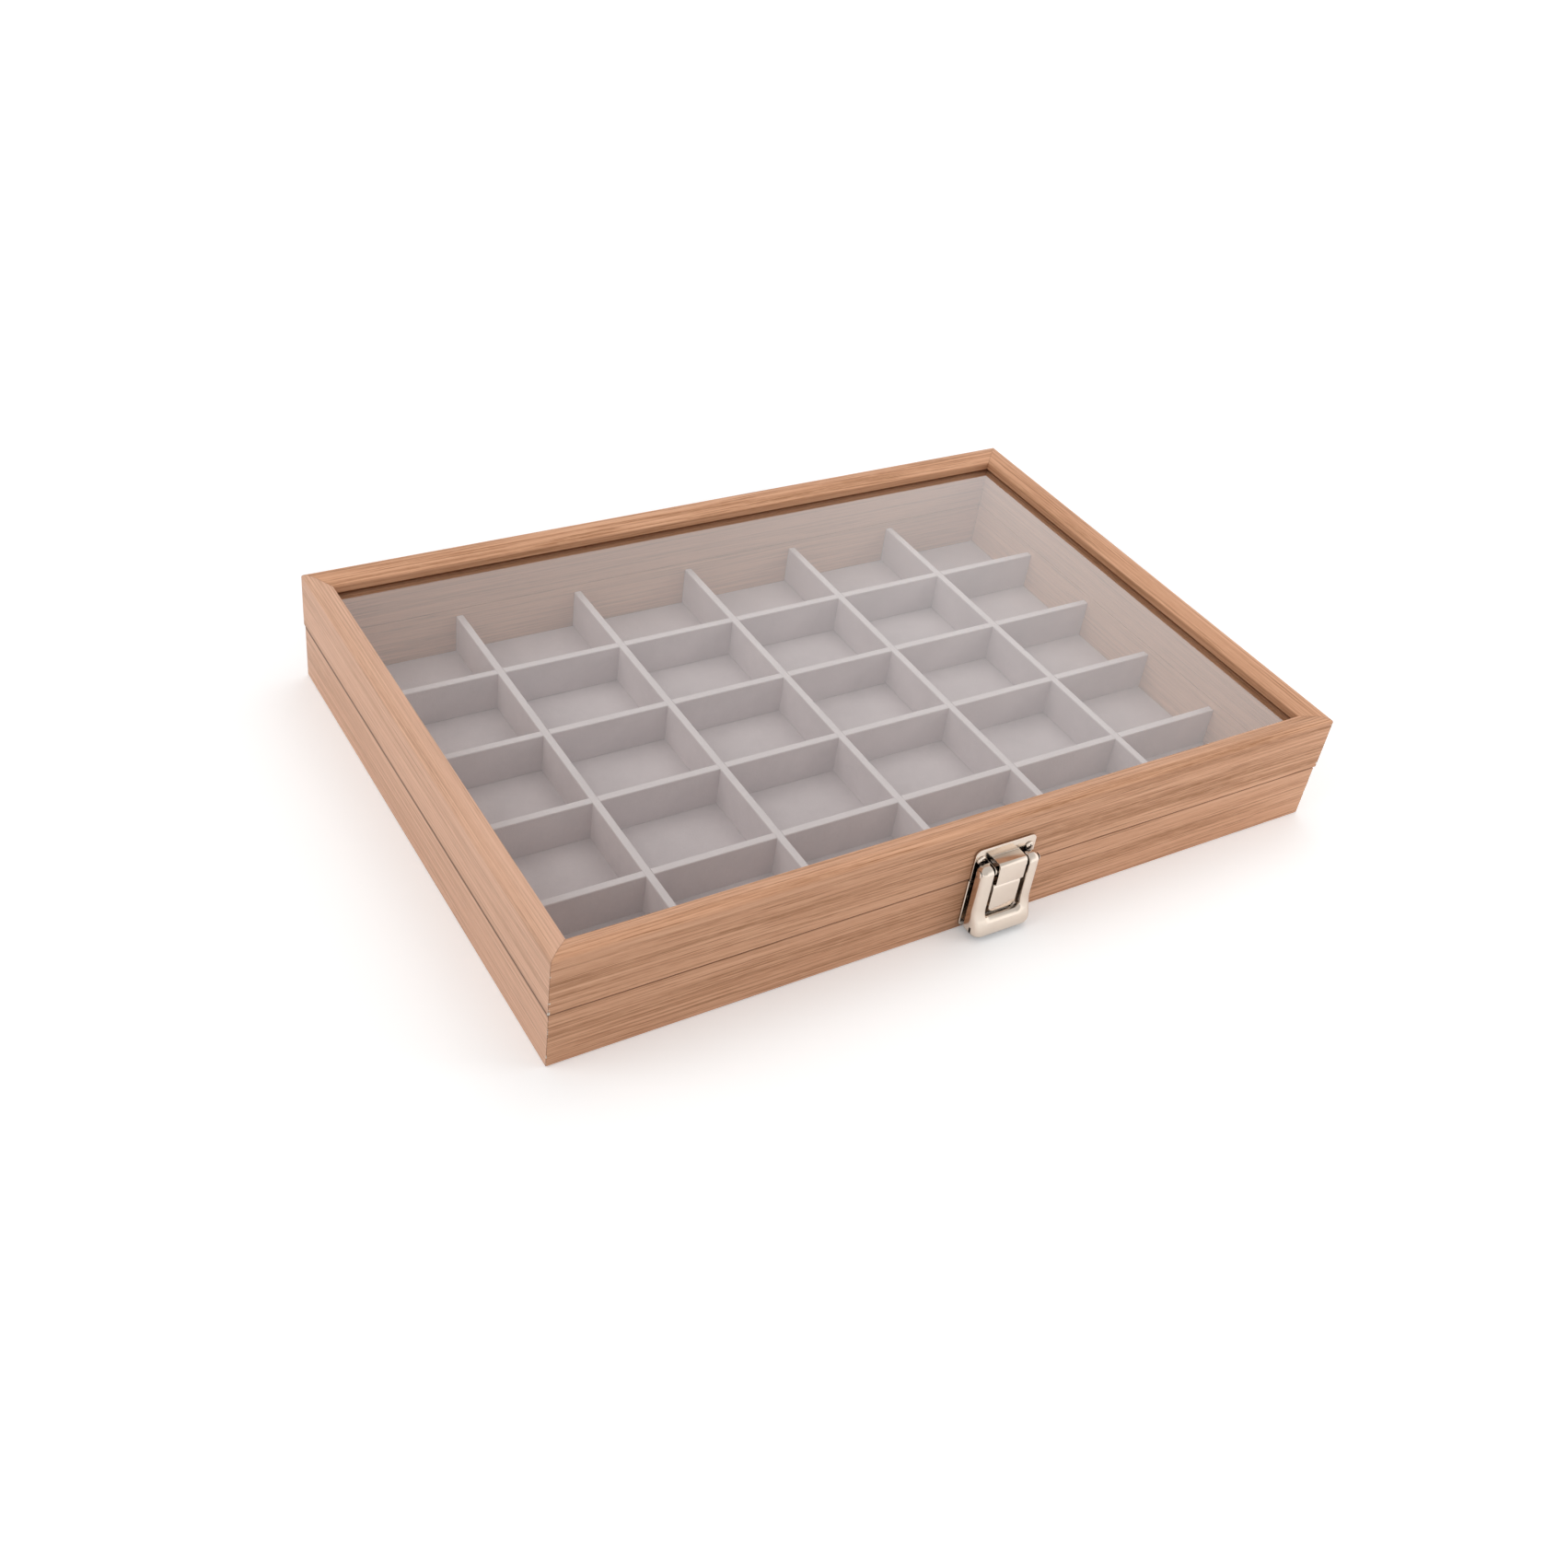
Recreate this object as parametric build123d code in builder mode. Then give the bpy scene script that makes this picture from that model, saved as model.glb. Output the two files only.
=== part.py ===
from build123d import *
from math import acos, degrees
import os

# Mineral display box: a hinged wooden lid with a glass pane over a velvet-lined tray of cells.
# X runs along the long side, the latch is at -Y, Z is up, millimetres.

# Case
box_width = 350.0
box_depth = 240.0
box_height = 50.0
base_height = 24.9
seam_gap = 0.2
wall = 10.0
lid_overhang = 0.4
top_outer_round = 1.5
top_inner_round = 0.8
top_flat = 4.0
top_fall = 2.3
top_crown_round = 6.0
seam_chamfer = 0.5
foot_chamfer = 0.5

# Glass
glass_thickness = 2.0
glass_recess = 5.8
glass_seat = 3.5
kerf_end_clearance = 0.4
kerf_top_clearance = 0.35

# Bottom panel and velvet
panel_thickness = 2.8
panel_rebate = 5.0
panel_clearance = 0.2
liner_thickness = 1.2
liner_clearance = 0.2
cell_columns = 6
cell_rows = 5
divider_thickness = 2.6
divider_height = 17.5
divider_bevel = 0.8
divider_end_clearance = 0.15
slot_clearance = 0.1
lap_clearance = 0.2

# Latch: sheet metal, with distances measured out from the front of the lid
latch_x = 9.0
plate_width = 28.0
plate_thickness = 1.0
plate_corner = 2.6
plate_chamfer = 0.2
lid_plate_top = 39.6
base_plate_bottom = 1.6
plate_seam_gap = 0.4
hood_width = 12.6
hood_reach = 7.0
hood_top = 35.0
hood_round = 1.6
sheet = 0.8
ear_gap = 0.25
ear_radius = 2.0
pin_reach = 4.2
pin_level = 31.0
pin_radius = 1.0
pin_fit = 0.03
pin_run = 0.06
pin_head_radius = 1.5
pin_head_height = 0.5
frame_width = 27.0
frame_wall = 0.9
frame_eye_radius = 2.8
frame_back_reach = 2.6
frame_grip_reach = 9.9
frame_grip_start = 16.8
frame_grip_bend = 8.5
frame_grip_round = 2.4
frame_bottom = 0.4
frame_corner = 4.5
window_width = 16.2
window_bottom = 10.8
window_round = 1.0
catch_width = 14.4
catch_reach = 7.8
catch_top_gap = 0.3
catch_bottom = 10.1
catch_leg_bottom = 12.5
catch_round = 2.2
catch_corner = 3.0

# Latch screws
screw_radius = 1.0
screw_head_radius = 1.9
screw_head_height = 0.9
screw_crown_radius = 1.45
screw_shank_sides = 8
screw_length = 8.0
screw_fit = 0.05
lid_screw_spacing = 22.2
lid_screw_level = 34.8
base_screw_spacing = 19.0
base_screw_level = 5.5

# Hinges
hinge_inset = 65.0
hinge_length = 30.0
hinge_leaf_height = 12.0
hinge_leaf_thickness = 1.0
hinge_corner = 1.5
knuckle_radius = 1.7
knuckle_count = 3
knuckle_gap = 0.2
knuckle_stand_off = 0.15
knuckle_clearance = 0.3
hinge_pin_radius = 0.8
hinge_pin_fit = 0.03
hinge_pin_head = 0.6
hinge_pin_head_radius = 1.5
hinge_screw_spacing = 18.0
hinge_screw_drop = 8.0
hinge_screw_radius = 0.9
hinge_screw_head_radius = 1.7
hinge_screw_length = 7.0

# Levels and places that follow from the sizes above
lid_bottom = base_height + seam_gap
glass_top = box_height - glass_recess
glass_bottom = glass_top - glass_thickness
opening_width = box_width - 2 * wall
opening_depth = box_depth - 2 * wall
base_width = box_width - 2 * lid_overhang
base_depth = box_depth - 2 * lid_overhang
base_wall = wall - lid_overhang
liner_top = panel_thickness + liner_thickness
divider_top = liner_top + divider_height
seam_level = (base_height + lid_bottom) / 2
latch_gap = plate_seam_gap / 2
lid_plate_bottom = seam_level + latch_gap
base_plate_top = seam_level - latch_gap
base_front = -lid_overhang
hinge_x = box_width / 2 - hinge_inset
hinge_axis_y = box_depth / 2 + knuckle_stand_off + knuckle_radius

os.makedirs("parts", exist_ok=True)


def save(builder, name):
    """Label a finished piece and write it to its own file."""
    builder.part.label = name
    export_step(builder.part, f"parts/{name}.step")


# Wooden rails

def side_plane(side, width, depth):
    """Section plane of one rail: origin on its outer face, X inward, Y up."""
    inward = {"front": (0, 1, 0), "back": (0, -1, 0), "left": (1, 0, 0), "right": (-1, 0, 0)}[side]
    along = {"front": (1, 0, 0), "back": (-1, 0, 0), "left": (0, -1, 0), "right": (0, 1, 0)}[side]
    outer = (-inward[0] * width / 2, -inward[1] * depth / 2, 0)
    return Plane(origin=outer, x_dir=inward, z_dir=along)


def mitre_planes(section_plane, half_length):
    """The two upright 45 degree planes that end a rail, facing away from it."""
    inward = section_plane.x_dir
    along = section_plane.z_dir
    planes = []
    for direction in (-1, 1):
        corner = section_plane.origin + along * (direction * half_length)
        planes.append(Plane(origin=corner, z_dir=along * direction + inward))
    return planes


def drill(places, radius, depth):
    """Holes bored inward from planes that lie on a surface and face away from it."""
    with Locations(*places):
        Hole(radius, depth=depth)


def rail(outline, rounds, chamfers, side, width, depth):
    """One mitred rail. Rounds and chamfers are pairs of an outline point and a size."""
    plane = side_plane(side, width, depth)
    half_length = (width if side in ("front", "back") else depth) / 2
    with BuildPart() as piece:
        with BuildSketch(plane) as section:
            with BuildLine():
                Polyline(*outline, close=True)
            make_face()
            for point, size in rounds:
                fillet(section.vertices().sort_by_distance(point)[0], radius=size)
            for point, size in chamfers:
                chamfer(section.vertices().sort_by_distance(point)[0], length=size)
        extrude(amount=half_length, both=True)
        for cut in mitre_planes(plane, half_length):
            split(bisect_by=cut, keep=Keep.BOTTOM)
    return piece


def front_place(x, reach, level):
    """A plane on the front that faces outward, at a reach in front of the lid's face."""
    return Plane(origin=(x, -box_depth / 2 - reach, level), x_dir=(1, 0, 0), z_dir=(0, -1, 0))


def back_place(x, y, level):
    """A plane on the back that faces outward."""
    return Plane(origin=(x, y, level), x_dir=(-1, 0, 0), z_dir=(0, 1, 0))


lid_screw_places = [(latch_x + s * lid_screw_spacing / 2, lid_screw_level) for s in (-1, 1)]
base_screw_places = [(latch_x + s * base_screw_spacing / 2, base_screw_level) for s in (-1, 1)]

# The lid rail's top is flat outside and falls towards the glass inside
lid_outline = [
    (0, lid_bottom),
    (wall, lid_bottom),
    (wall, glass_bottom),
    (wall - glass_seat - kerf_end_clearance, glass_bottom),
    (wall - glass_seat - kerf_end_clearance, glass_top + kerf_top_clearance),
    (wall, glass_top + kerf_top_clearance),
    (wall, box_height - top_fall),
    (top_flat, box_height),
    (0, box_height),
]
lid_rounds = [
    ((0, box_height), top_outer_round),
    ((top_flat, box_height), top_crown_round),
    ((wall, box_height - top_fall), top_inner_round),
]
lid_chamfers = [((0, lid_bottom), seam_chamfer)]

base_outline = [
    (0, 0),
    (base_wall - panel_rebate, 0),
    (base_wall - panel_rebate, panel_thickness),
    (base_wall, panel_thickness),
    (base_wall, base_height),
    (0, base_height),
]
base_chamfers = [((0, 0), foot_chamfer), ((0, base_height), seam_chamfer)]

for side in ("front", "back", "left", "right"):
    lid_rail = rail(lid_outline, lid_rounds, lid_chamfers, side, box_width, box_depth)
    save(lid_rail, f"lid_rail_{side}")
    base_rail = rail(base_outline, [], base_chamfers, side, base_width, base_depth)
    save(base_rail, f"base_rail_{side}")

# Glass, bottom panel and floor liner

with BuildPart() as glass_pane:
    with BuildSketch(Plane.XY.offset(glass_bottom)):
        Rectangle(opening_width + 2 * glass_seat, opening_depth + 2 * glass_seat)
    extrude(amount=glass_thickness)
save(glass_pane, "glass_pane")

with BuildPart() as bottom_panel:
    with BuildSketch():
        Rectangle(
            opening_width + 2 * (panel_rebate - panel_clearance),
            opening_depth + 2 * (panel_rebate - panel_clearance),
        )
    extrude(amount=panel_thickness)
save(bottom_panel, "bottom_panel")

with BuildPart() as floor_liner:
    with BuildSketch(Plane.XY.offset(panel_thickness)):
        Rectangle(opening_width - 2 * liner_clearance, opening_depth - 2 * liner_clearance)
    extrude(amount=liner_thickness)
save(floor_liner, "floor_liner")

# Cross-lapped dividers

column_pitch = (opening_width + divider_thickness) / cell_columns
row_pitch = (opening_depth + divider_thickness) / cell_rows
cross_xs = [(i - cell_columns / 2) * column_pitch for i in range(1, cell_columns)]
long_ys = [(j - cell_rows / 2) * row_pitch for j in range(1, cell_rows)]
slot_width = divider_thickness + 2 * slot_clearance
lap_level = liner_top + divider_height / 2


def divider(plane, length, slots, slot_bottom, slot_height):
    """A velvet-covered strip with a bevelled top edge, cut by half-depth slots."""
    with BuildPart() as piece:
        with BuildSketch(plane) as section:
            with Locations((0, liner_top + divider_height / 2)):
                Rectangle(divider_thickness, divider_height)
            chamfer(section.vertices().group_by(Axis.Y)[-1], length=divider_bevel)
        extrude(amount=length / 2, both=True)
        with Locations(*[(x, y, slot_bottom) for x, y in slots]):
            Box(
                slot_width, slot_width, slot_height,
                align=(Align.CENTER, Align.CENTER, Align.MIN), mode=Mode.SUBTRACT,
            )
    return piece


for number, x in enumerate(cross_xs, start=1):
    cross = divider(
        Plane(origin=(x, 0, 0), x_dir=(1, 0, 0), z_dir=(0, -1, 0)),
        opening_depth - 2 * divider_end_clearance,
        [(x, y) for y in long_ys],
        liner_top - lap_clearance,
        divider_height / 2 + 2 * lap_clearance,
    )
    save(cross, f"divider_cross_{number}")

for number, y in enumerate(long_ys, start=1):
    long = divider(
        Plane(origin=(0, y, 0), x_dir=(0, 1, 0), z_dir=(1, 0, 0)),
        opening_width - 2 * divider_end_clearance,
        [(x, y) for x in cross_xs],
        lap_level,
        divider_height / 2 + lap_clearance,
    )
    save(long, f"divider_long_{number}")

# Latch

latch_side = Plane(origin=(latch_x, -box_depth / 2, 0), x_dir=(0, -1, 0), z_dir=(-1, 0, 0))


def strip(outline, rounds, half_width):
    """Add a bent sheet: its side view is widened equally to both sides of the latch."""
    with BuildSketch(latch_side) as side_view:
        with BuildLine():
            Polyline(*outline, close=True)
        make_face()
        for point, size in rounds:
            fillet(side_view.vertices().sort_by_distance(point)[0], radius=size)
    return extrude(side_view.sketch, amount=half_width, both=True)


def latch_plate(reach, bottom, top, corner_ends):
    """Add a flat plate on the front, with its free corners rounded and its face edge eased."""
    with BuildSketch(front_place(latch_x, reach, (bottom + top) / 2)) as face_view:
        Rectangle(plate_width, top - bottom)
        fillet(face_view.vertices().group_by(Axis.Y)[corner_ends], radius=plate_corner)
    plate = extrude(face_view.sketch, amount=plate_thickness)
    chamfer(plate.faces().sort_by(Axis.Y)[0].outer_wire().edges(), length=plate_chamfer)


ear_inner = hood_width / 2 + ear_gap
pin_hole_radius = pin_radius + pin_fit

with BuildPart() as latch_lid_plate:
    latch_plate(0, lid_plate_bottom, lid_plate_top, -1)
    drill(
        [front_place(x, plate_thickness, z) for x, z in lid_screw_places],
        screw_radius + screw_fit, plate_thickness,
    )
    with BuildSketch(front_place(latch_x, 0, 0)):
        with Locations((0, (lid_plate_bottom + pin_level) / 2)):
            Rectangle(hood_width, pin_level - lid_plate_bottom)
    extrude(amount=plate_thickness, mode=Mode.SUBTRACT)
    strip(
        [
            (0, hood_top - sheet),
            (hood_reach - sheet, hood_top - sheet),
            (hood_reach - sheet, lid_plate_bottom),
            (hood_reach, lid_plate_bottom),
            (hood_reach, hood_top),
            (0, hood_top),
        ],
        [
            ((hood_reach, hood_top), hood_round),
            ((hood_reach - sheet, hood_top - sheet), hood_round - sheet),
        ],
        hood_width / 2,
    )
    for direction in (-1, 1):
        ear_plane = latch_side.offset(direction * (ear_inner + sheet / 2))
        with BuildSketch(ear_plane):
            with Locations((pin_reach, pin_level)):
                Circle(ear_radius)
            with Locations((pin_reach / 2, pin_level)):
                Rectangle(pin_reach, 2 * ear_radius)
            with Locations((pin_reach, pin_level)):
                Circle(pin_hole_radius, mode=Mode.SUBTRACT)
        extrude(amount=sheet / 2, both=True)
save(latch_lid_plate, "latch_lid_plate")

with BuildPart() as latch_pin:
    with BuildSketch(latch_side.offset(-frame_width / 2)):
        with Locations((pin_reach, pin_level)):
            Circle(pin_radius)
    extrude(amount=frame_width)
    for direction in (-1, 1):
        head_plane = latch_side.offset(direction * (frame_width / 2 + pin_run))
        with BuildSketch(head_plane):
            with Locations((pin_reach, pin_level)):
                Circle(pin_head_radius)
        extrude(amount=direction * pin_head_height)
        with BuildSketch(latch_side.offset(direction * frame_width / 2)):
            with Locations((pin_reach, pin_level)):
                Circle(pin_radius)
        extrude(amount=direction * pin_run)
save(latch_pin, "latch_pin")


frame_face_reach = pin_reach + frame_eye_radius
grip_turn = degrees(acos(1 - (frame_grip_reach - frame_face_reach) / (2 * frame_grip_bend)))


def frame_solid(inset, back):
    """The swinging frame's outer form, or its hollow when drawn in by an inset."""
    face = frame_face_reach - inset
    grip = frame_grip_reach - inset
    bottom = frame_bottom + inset
    top = pin_level + frame_eye_radius - inset
    grip_round = frame_grip_round - inset
    with BuildPart() as form:
        with BuildSketch(latch_side):
            with BuildLine():
                arm = Line((face, pin_level), (face, frame_grip_start))
                flare = JernArc(arm @ 1, (0, -1), frame_grip_bend + inset, grip_turn)
                swell = JernArc(flare @ 1, flare % 1, frame_grip_bend - inset, -grip_turn)
                drop = Line(swell @ 1, (grip, bottom + grip_round))
                under = JernArc(drop @ 1, (0, -1), grip_round, -90)
                Polyline(under @ 1, (back, bottom), (back, pin_level), arm @ 0)
            make_face()
            with Locations((pin_reach, pin_level)):
                Circle(frame_eye_radius - inset)
        extrude(amount=frame_width / 2 - inset, both=True)
        with BuildSketch(front_place(latch_x, 0, (bottom + top) / 2)) as outline:
            Rectangle(frame_width - 2 * inset, top - bottom)
            fillet(outline.vertices().group_by(Axis.Y)[0], radius=frame_corner - inset)
        extrude(amount=2 * frame_grip_reach, both=True, mode=Mode.INTERSECT)
    return form


frame_outer = frame_solid(0, frame_back_reach)
frame_hollow = frame_solid(frame_wall, frame_back_reach - frame_wall)

frame_top = pin_level + frame_eye_radius

with BuildPart() as latch_frame:
    add(frame_outer.part)
    add(frame_hollow.part, mode=Mode.SUBTRACT)
    # The window between the arms is open at the top
    with BuildSketch(front_place(latch_x, 0, 0)):
        with Locations((0, (window_bottom + frame_top) / 2 + window_round)):
            RectangleRounded(window_width, frame_top - window_bottom + 2 * window_round, window_round)
    extrude(amount=2 * frame_grip_reach, mode=Mode.SUBTRACT)
    # The grip bar is open at the back, down to the floor of its hollow
    with BuildSketch(front_place(latch_x, 0, 0)):
        with Locations((0, window_bottom / 2)):
            Rectangle(window_width, window_bottom + 2 * window_round)
    extrude(amount=frame_grip_reach - frame_grip_round, mode=Mode.SUBTRACT)
    with BuildSketch(latch_side):
        with Locations((pin_reach, pin_level)):
            Circle(pin_radius + pin_fit)
    extrude(amount=frame_width, both=True, mode=Mode.SUBTRACT)
save(latch_frame, "latch_frame")

with BuildPart() as latch_base_plate:
    latch_plate(base_front, base_plate_bottom, base_plate_top, 0)
    drill(
        [front_place(x, base_front + plate_thickness, z) for x, z in base_screw_places],
        screw_radius + screw_fit, plate_thickness,
    )
save(latch_base_plate, "latch_base_plate")

catch_back = base_front + plate_thickness
catch_top = base_height - catch_top_gap

with BuildPart() as latch_catch:
    strip(
        [
            (catch_back, catch_leg_bottom),
            (catch_back + sheet, catch_leg_bottom),
            (catch_back + sheet, catch_top - sheet),
            (catch_reach - sheet, catch_top - sheet),
            (catch_reach - sheet, catch_bottom),
            (catch_reach, catch_bottom),
            (catch_reach, catch_top),
            (catch_back, catch_top),
        ],
        [
            ((catch_back + sheet, catch_top - sheet), catch_round - sheet),
            ((catch_reach - sheet, catch_top - sheet), catch_round - sheet),
            ((catch_reach, catch_top), catch_round),
            ((catch_back, catch_top), catch_round),
        ],
        catch_width / 2,
    )
    tongue_ends = latch_catch.edges().filter_by(Axis.Y).group_by(Axis.Z)[0]
    fillet(tongue_ends, radius=catch_corner)
save(latch_catch, "latch_catch")


def wood_screws(seats, head_top, head_radius, head_base, neck_radius, shank_radius, length):
    """Wood screws on the given planes: a tapered head over a plain faceted shank."""
    with BuildPart() as screws:
        for seat in seats:
            with BuildSketch(seat.offset(head_base)):
                Circle(neck_radius)
            with BuildSketch(seat.offset(head_top)):
                Circle(head_radius)
            loft()
            with BuildSketch(seat.offset(head_base)):
                RegularPolygon(shank_radius, screw_shank_sides)
            extrude(amount=head_top - head_base - length)
    return screws


def pan_head_screws(seats):
    """Screws whose heads stand on the plates."""
    return wood_screws(
        seats, screw_head_height, screw_crown_radius, 0,
        screw_head_radius, screw_radius, screw_length,
    )


def flush_head_screws(seats):
    """Countersunk screws whose heads end flush with the leaves."""
    return wood_screws(
        seats, 0, hinge_screw_head_radius, -hinge_leaf_thickness,
        hinge_screw_radius, hinge_screw_radius, hinge_screw_length,
    )


lid_screw_seats = [front_place(x, plate_thickness, z) for x, z in lid_screw_places]
base_screw_seats = [front_place(x, catch_back, z) for x, z in base_screw_places]
save(pan_head_screws(lid_screw_seats), "latch_screws_lid")
save(pan_head_screws(base_screw_seats), "latch_screws_base")

# Butt hinges

knuckle_pitch = hinge_length / knuckle_count


def hinge_screw_seats(centre_x, leaf_back, direction):
    """Planes on a leaf's outer face at its two screws."""
    level = seam_level + direction * hinge_screw_drop
    return [
        back_place(centre_x + s * hinge_screw_spacing / 2, leaf_back + hinge_leaf_thickness, level)
        for s in (-1, 1)
    ]


def hinge_leaf(centre_x, leaf_back, direction, first_knuckle):
    """One leaf. Direction is 1 for the lid leaf, which rises from the axis, and -1 for the base leaf."""
    leaf_middle = seam_level + direction * hinge_leaf_height / 2
    side_view_plane = Plane(origin=(centre_x, 0, 0), x_dir=(0, 1, 0), z_dir=(1, 0, 0))
    with BuildPart() as leaf:
        with BuildSketch(back_place(centre_x, leaf_back, leaf_middle)) as flat:
            Rectangle(hinge_length, hinge_leaf_height)
            free_end = flat.vertices().group_by(Axis.Y)[-1 if direction > 0 else 0]
            fillet(free_end, radius=hinge_corner)
        extrude(amount=hinge_leaf_thickness)
        for knuckle in range(knuckle_count):
            start = -hinge_length / 2 + knuckle * knuckle_pitch
            if knuckle % 2 == first_knuckle:
                with BuildSketch(side_view_plane.offset(start + knuckle_gap / 2)):
                    with Locations((hinge_axis_y, seam_level)):
                        Circle(knuckle_radius)
                extrude(amount=knuckle_pitch - knuckle_gap)
            else:
                with Locations((centre_x + start + knuckle_pitch / 2, leaf_back, seam_level)):
                    Box(
                        knuckle_pitch + knuckle_gap, 2 * knuckle_radius,
                        2 * (knuckle_radius + knuckle_clearance), mode=Mode.SUBTRACT,
                    )
        with Locations((centre_x, hinge_axis_y, seam_level)):
            Cylinder(
                hinge_pin_radius + hinge_pin_fit, 2 * hinge_length,
                rotation=(0, 90, 0), mode=Mode.SUBTRACT,
            )
        with Locations(*hinge_screw_seats(centre_x, leaf_back, direction)):
            Cone(
                hinge_screw_radius + screw_fit, hinge_screw_head_radius + screw_fit,
                hinge_leaf_thickness,
                align=(Align.CENTER, Align.CENTER, Align.MAX), mode=Mode.SUBTRACT,
            )
    return leaf


def hinge_pin(centre_x):
    """The hinge pin with a small head at each end."""
    with BuildPart() as pin:
        with Locations((centre_x, hinge_axis_y, seam_level)):
            Cylinder(hinge_pin_radius, hinge_length, rotation=(0, 90, 0))
        for end in (-1, 1):
            with Locations((centre_x + end * (hinge_length + hinge_pin_head) / 2, hinge_axis_y, seam_level)):
                Cylinder(hinge_pin_head_radius, hinge_pin_head, rotation=(0, 90, 0))
    return pin


for name, centre_x in (("left", -hinge_x), ("right", hinge_x)):
    save(hinge_leaf(centre_x, box_depth / 2, 1, 1), f"hinge_leaf_lid_{name}")
    save(hinge_leaf(centre_x, base_depth / 2, -1, 0), f"hinge_leaf_base_{name}")
    save(hinge_pin(centre_x), f"hinge_pin_{name}")

for name, leaf_back, direction in (("lid", box_depth / 2, 1), ("base", base_depth / 2, -1)):
    seats = [seat for x in (-hinge_x, hinge_x) for seat in hinge_screw_seats(x, leaf_back, direction)]
    save(flush_head_screws(seats), f"hinge_screws_{name}")
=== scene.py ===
"""Looks of the mineral display box: wood, glass and nickel finishes, velvet lining and pressed latch."""

from math import cos, pi, radians

import bmesh
import bpy
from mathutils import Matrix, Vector


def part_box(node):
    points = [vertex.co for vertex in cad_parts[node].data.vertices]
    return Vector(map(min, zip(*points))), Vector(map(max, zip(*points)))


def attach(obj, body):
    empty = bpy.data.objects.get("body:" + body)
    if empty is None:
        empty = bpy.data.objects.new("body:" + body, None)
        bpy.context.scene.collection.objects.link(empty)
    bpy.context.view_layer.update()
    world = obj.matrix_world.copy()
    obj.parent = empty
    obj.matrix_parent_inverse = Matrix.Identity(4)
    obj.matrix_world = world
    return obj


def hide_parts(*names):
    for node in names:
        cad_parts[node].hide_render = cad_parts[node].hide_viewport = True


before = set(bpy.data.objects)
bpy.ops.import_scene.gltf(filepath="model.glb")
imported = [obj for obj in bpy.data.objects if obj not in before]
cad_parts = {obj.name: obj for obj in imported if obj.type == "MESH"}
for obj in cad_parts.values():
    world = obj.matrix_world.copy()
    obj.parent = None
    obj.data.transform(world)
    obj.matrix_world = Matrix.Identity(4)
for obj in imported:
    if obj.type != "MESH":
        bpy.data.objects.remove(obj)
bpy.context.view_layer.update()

bl_info = {
    "name": "Mineral Display Box",
    "version": (1, 0, 0),
    "blender": (4, 5, 0),
    "location": "View3D > Sidebar > Display Box",
    "description": "Builds the finishes, velvet lining, latch and studio of a hinged mineral display box",
    "category": "Object",
}

MM = 0.001
FRONT = Vector((0, -1, 0))

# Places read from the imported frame

lid_front_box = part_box("lid_rail_front")
base_front_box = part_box("base_rail_front")
latch_frame_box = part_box("latch_frame")
lid_plate_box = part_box("latch_lid_plate")
catch_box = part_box("latch_catch")
pin_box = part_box("latch_pin")
LATCH_X = (latch_frame_box[0].x + latch_frame_box[1].x) / 2
CASE_HALF_WIDTH = lid_front_box[1].x
LID_FRONT_Y = lid_front_box[0].y
BASE_TOP = base_front_box[1].z
DIVIDER_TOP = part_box("divider_long_1")[1].z
SEAM_GAP = lid_front_box[0].z - BASE_TOP
RAIL_WIDTH = lid_front_box[1].y - LID_FRONT_Y
GLASS_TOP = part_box("glass_pane")[1].z

# Lines and tones of the wooden rails

MITRE_REACH = 0.16 * MM
# The dark seam band is partly the board edge and partly painted shade in the seam groove.
SIDE_SEAM_REACH = 1.5 * MM
FRONT_SEAM_REACH = 0.6 * MM
# The left rails have finer grain, and are painted paler with weaker streaks as painted light from the lamp
# side.
LEFT_RAILS_LIT_PALER = 0.22
BOARD_STEP = Vector((0.37, 0.11, 0.07))


class WoodSettings(bpy.types.PropertyGroup):
    """Colours and grain of the wooden rails"""

    ground: bpy.props.FloatVectorProperty(
        name="Ground", description="Main colour of the wood",
        subtype="COLOR", size=4, min=0, max=1, default=(0.62, 0.32, 0.185, 1))
    streak: bpy.props.FloatVectorProperty(
        name="Streak", description="Colour of the dark grain lines",
        subtype="COLOR", size=4, min=0, max=1, default=(0.36, 0.165, 0.075, 1))
    pale: bpy.props.FloatVectorProperty(
        name="Pale grain", description="Colour of the pale grain lines",
        subtype="COLOR", size=4, min=0, max=1, default=(0.77, 0.445, 0.275, 1))
    # Pale tone: painted light on the left rails, and the paler tone of the inner faces below the glass.
    pale_tone: bpy.props.FloatVectorProperty(
        name="Faded", description="Colour towards which the paler rails are mixed",
        subtype="COLOR", size=4, min=0, max=1, default=(0.80, 0.60, 0.50, 1))
    # The joint colour draws the mitre lines, and on the seam partly painted shade in the seam groove.
    joint: bpy.props.FloatVectorProperty(
        name="Joint", description="Colour of the seam and of the mitre lines",
        subtype="COLOR", size=4, min=0, max=1, default=(0.10, 0.04, 0.02, 1))
    streak_width: bpy.props.FloatProperty(
        name="Streak width", description="Typical distance between two grain lines",
        subtype="DISTANCE", unit="LENGTH", min=0.0002, default=0.95 * MM)
    streak_length: bpy.props.FloatProperty(
        name="Streak length", description="Typical length of one grain line",
        subtype="DISTANCE", unit="LENGTH", min=0.005, default=0.10)
    chipped: bpy.props.FloatVectorProperty(
        name="Chipped", description="Colour of bare wood at the small chips along the corners",
        subtype="COLOR", size=4, min=0, max=1, default=(0.80, 0.74, 0.66, 1))
    edge_round: bpy.props.FloatProperty(
        name="Edge softness", description="Radius of the light-catching edges of the rails",
        subtype="DISTANCE", unit="LENGTH", min=0, default=0.25 * MM)


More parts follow.
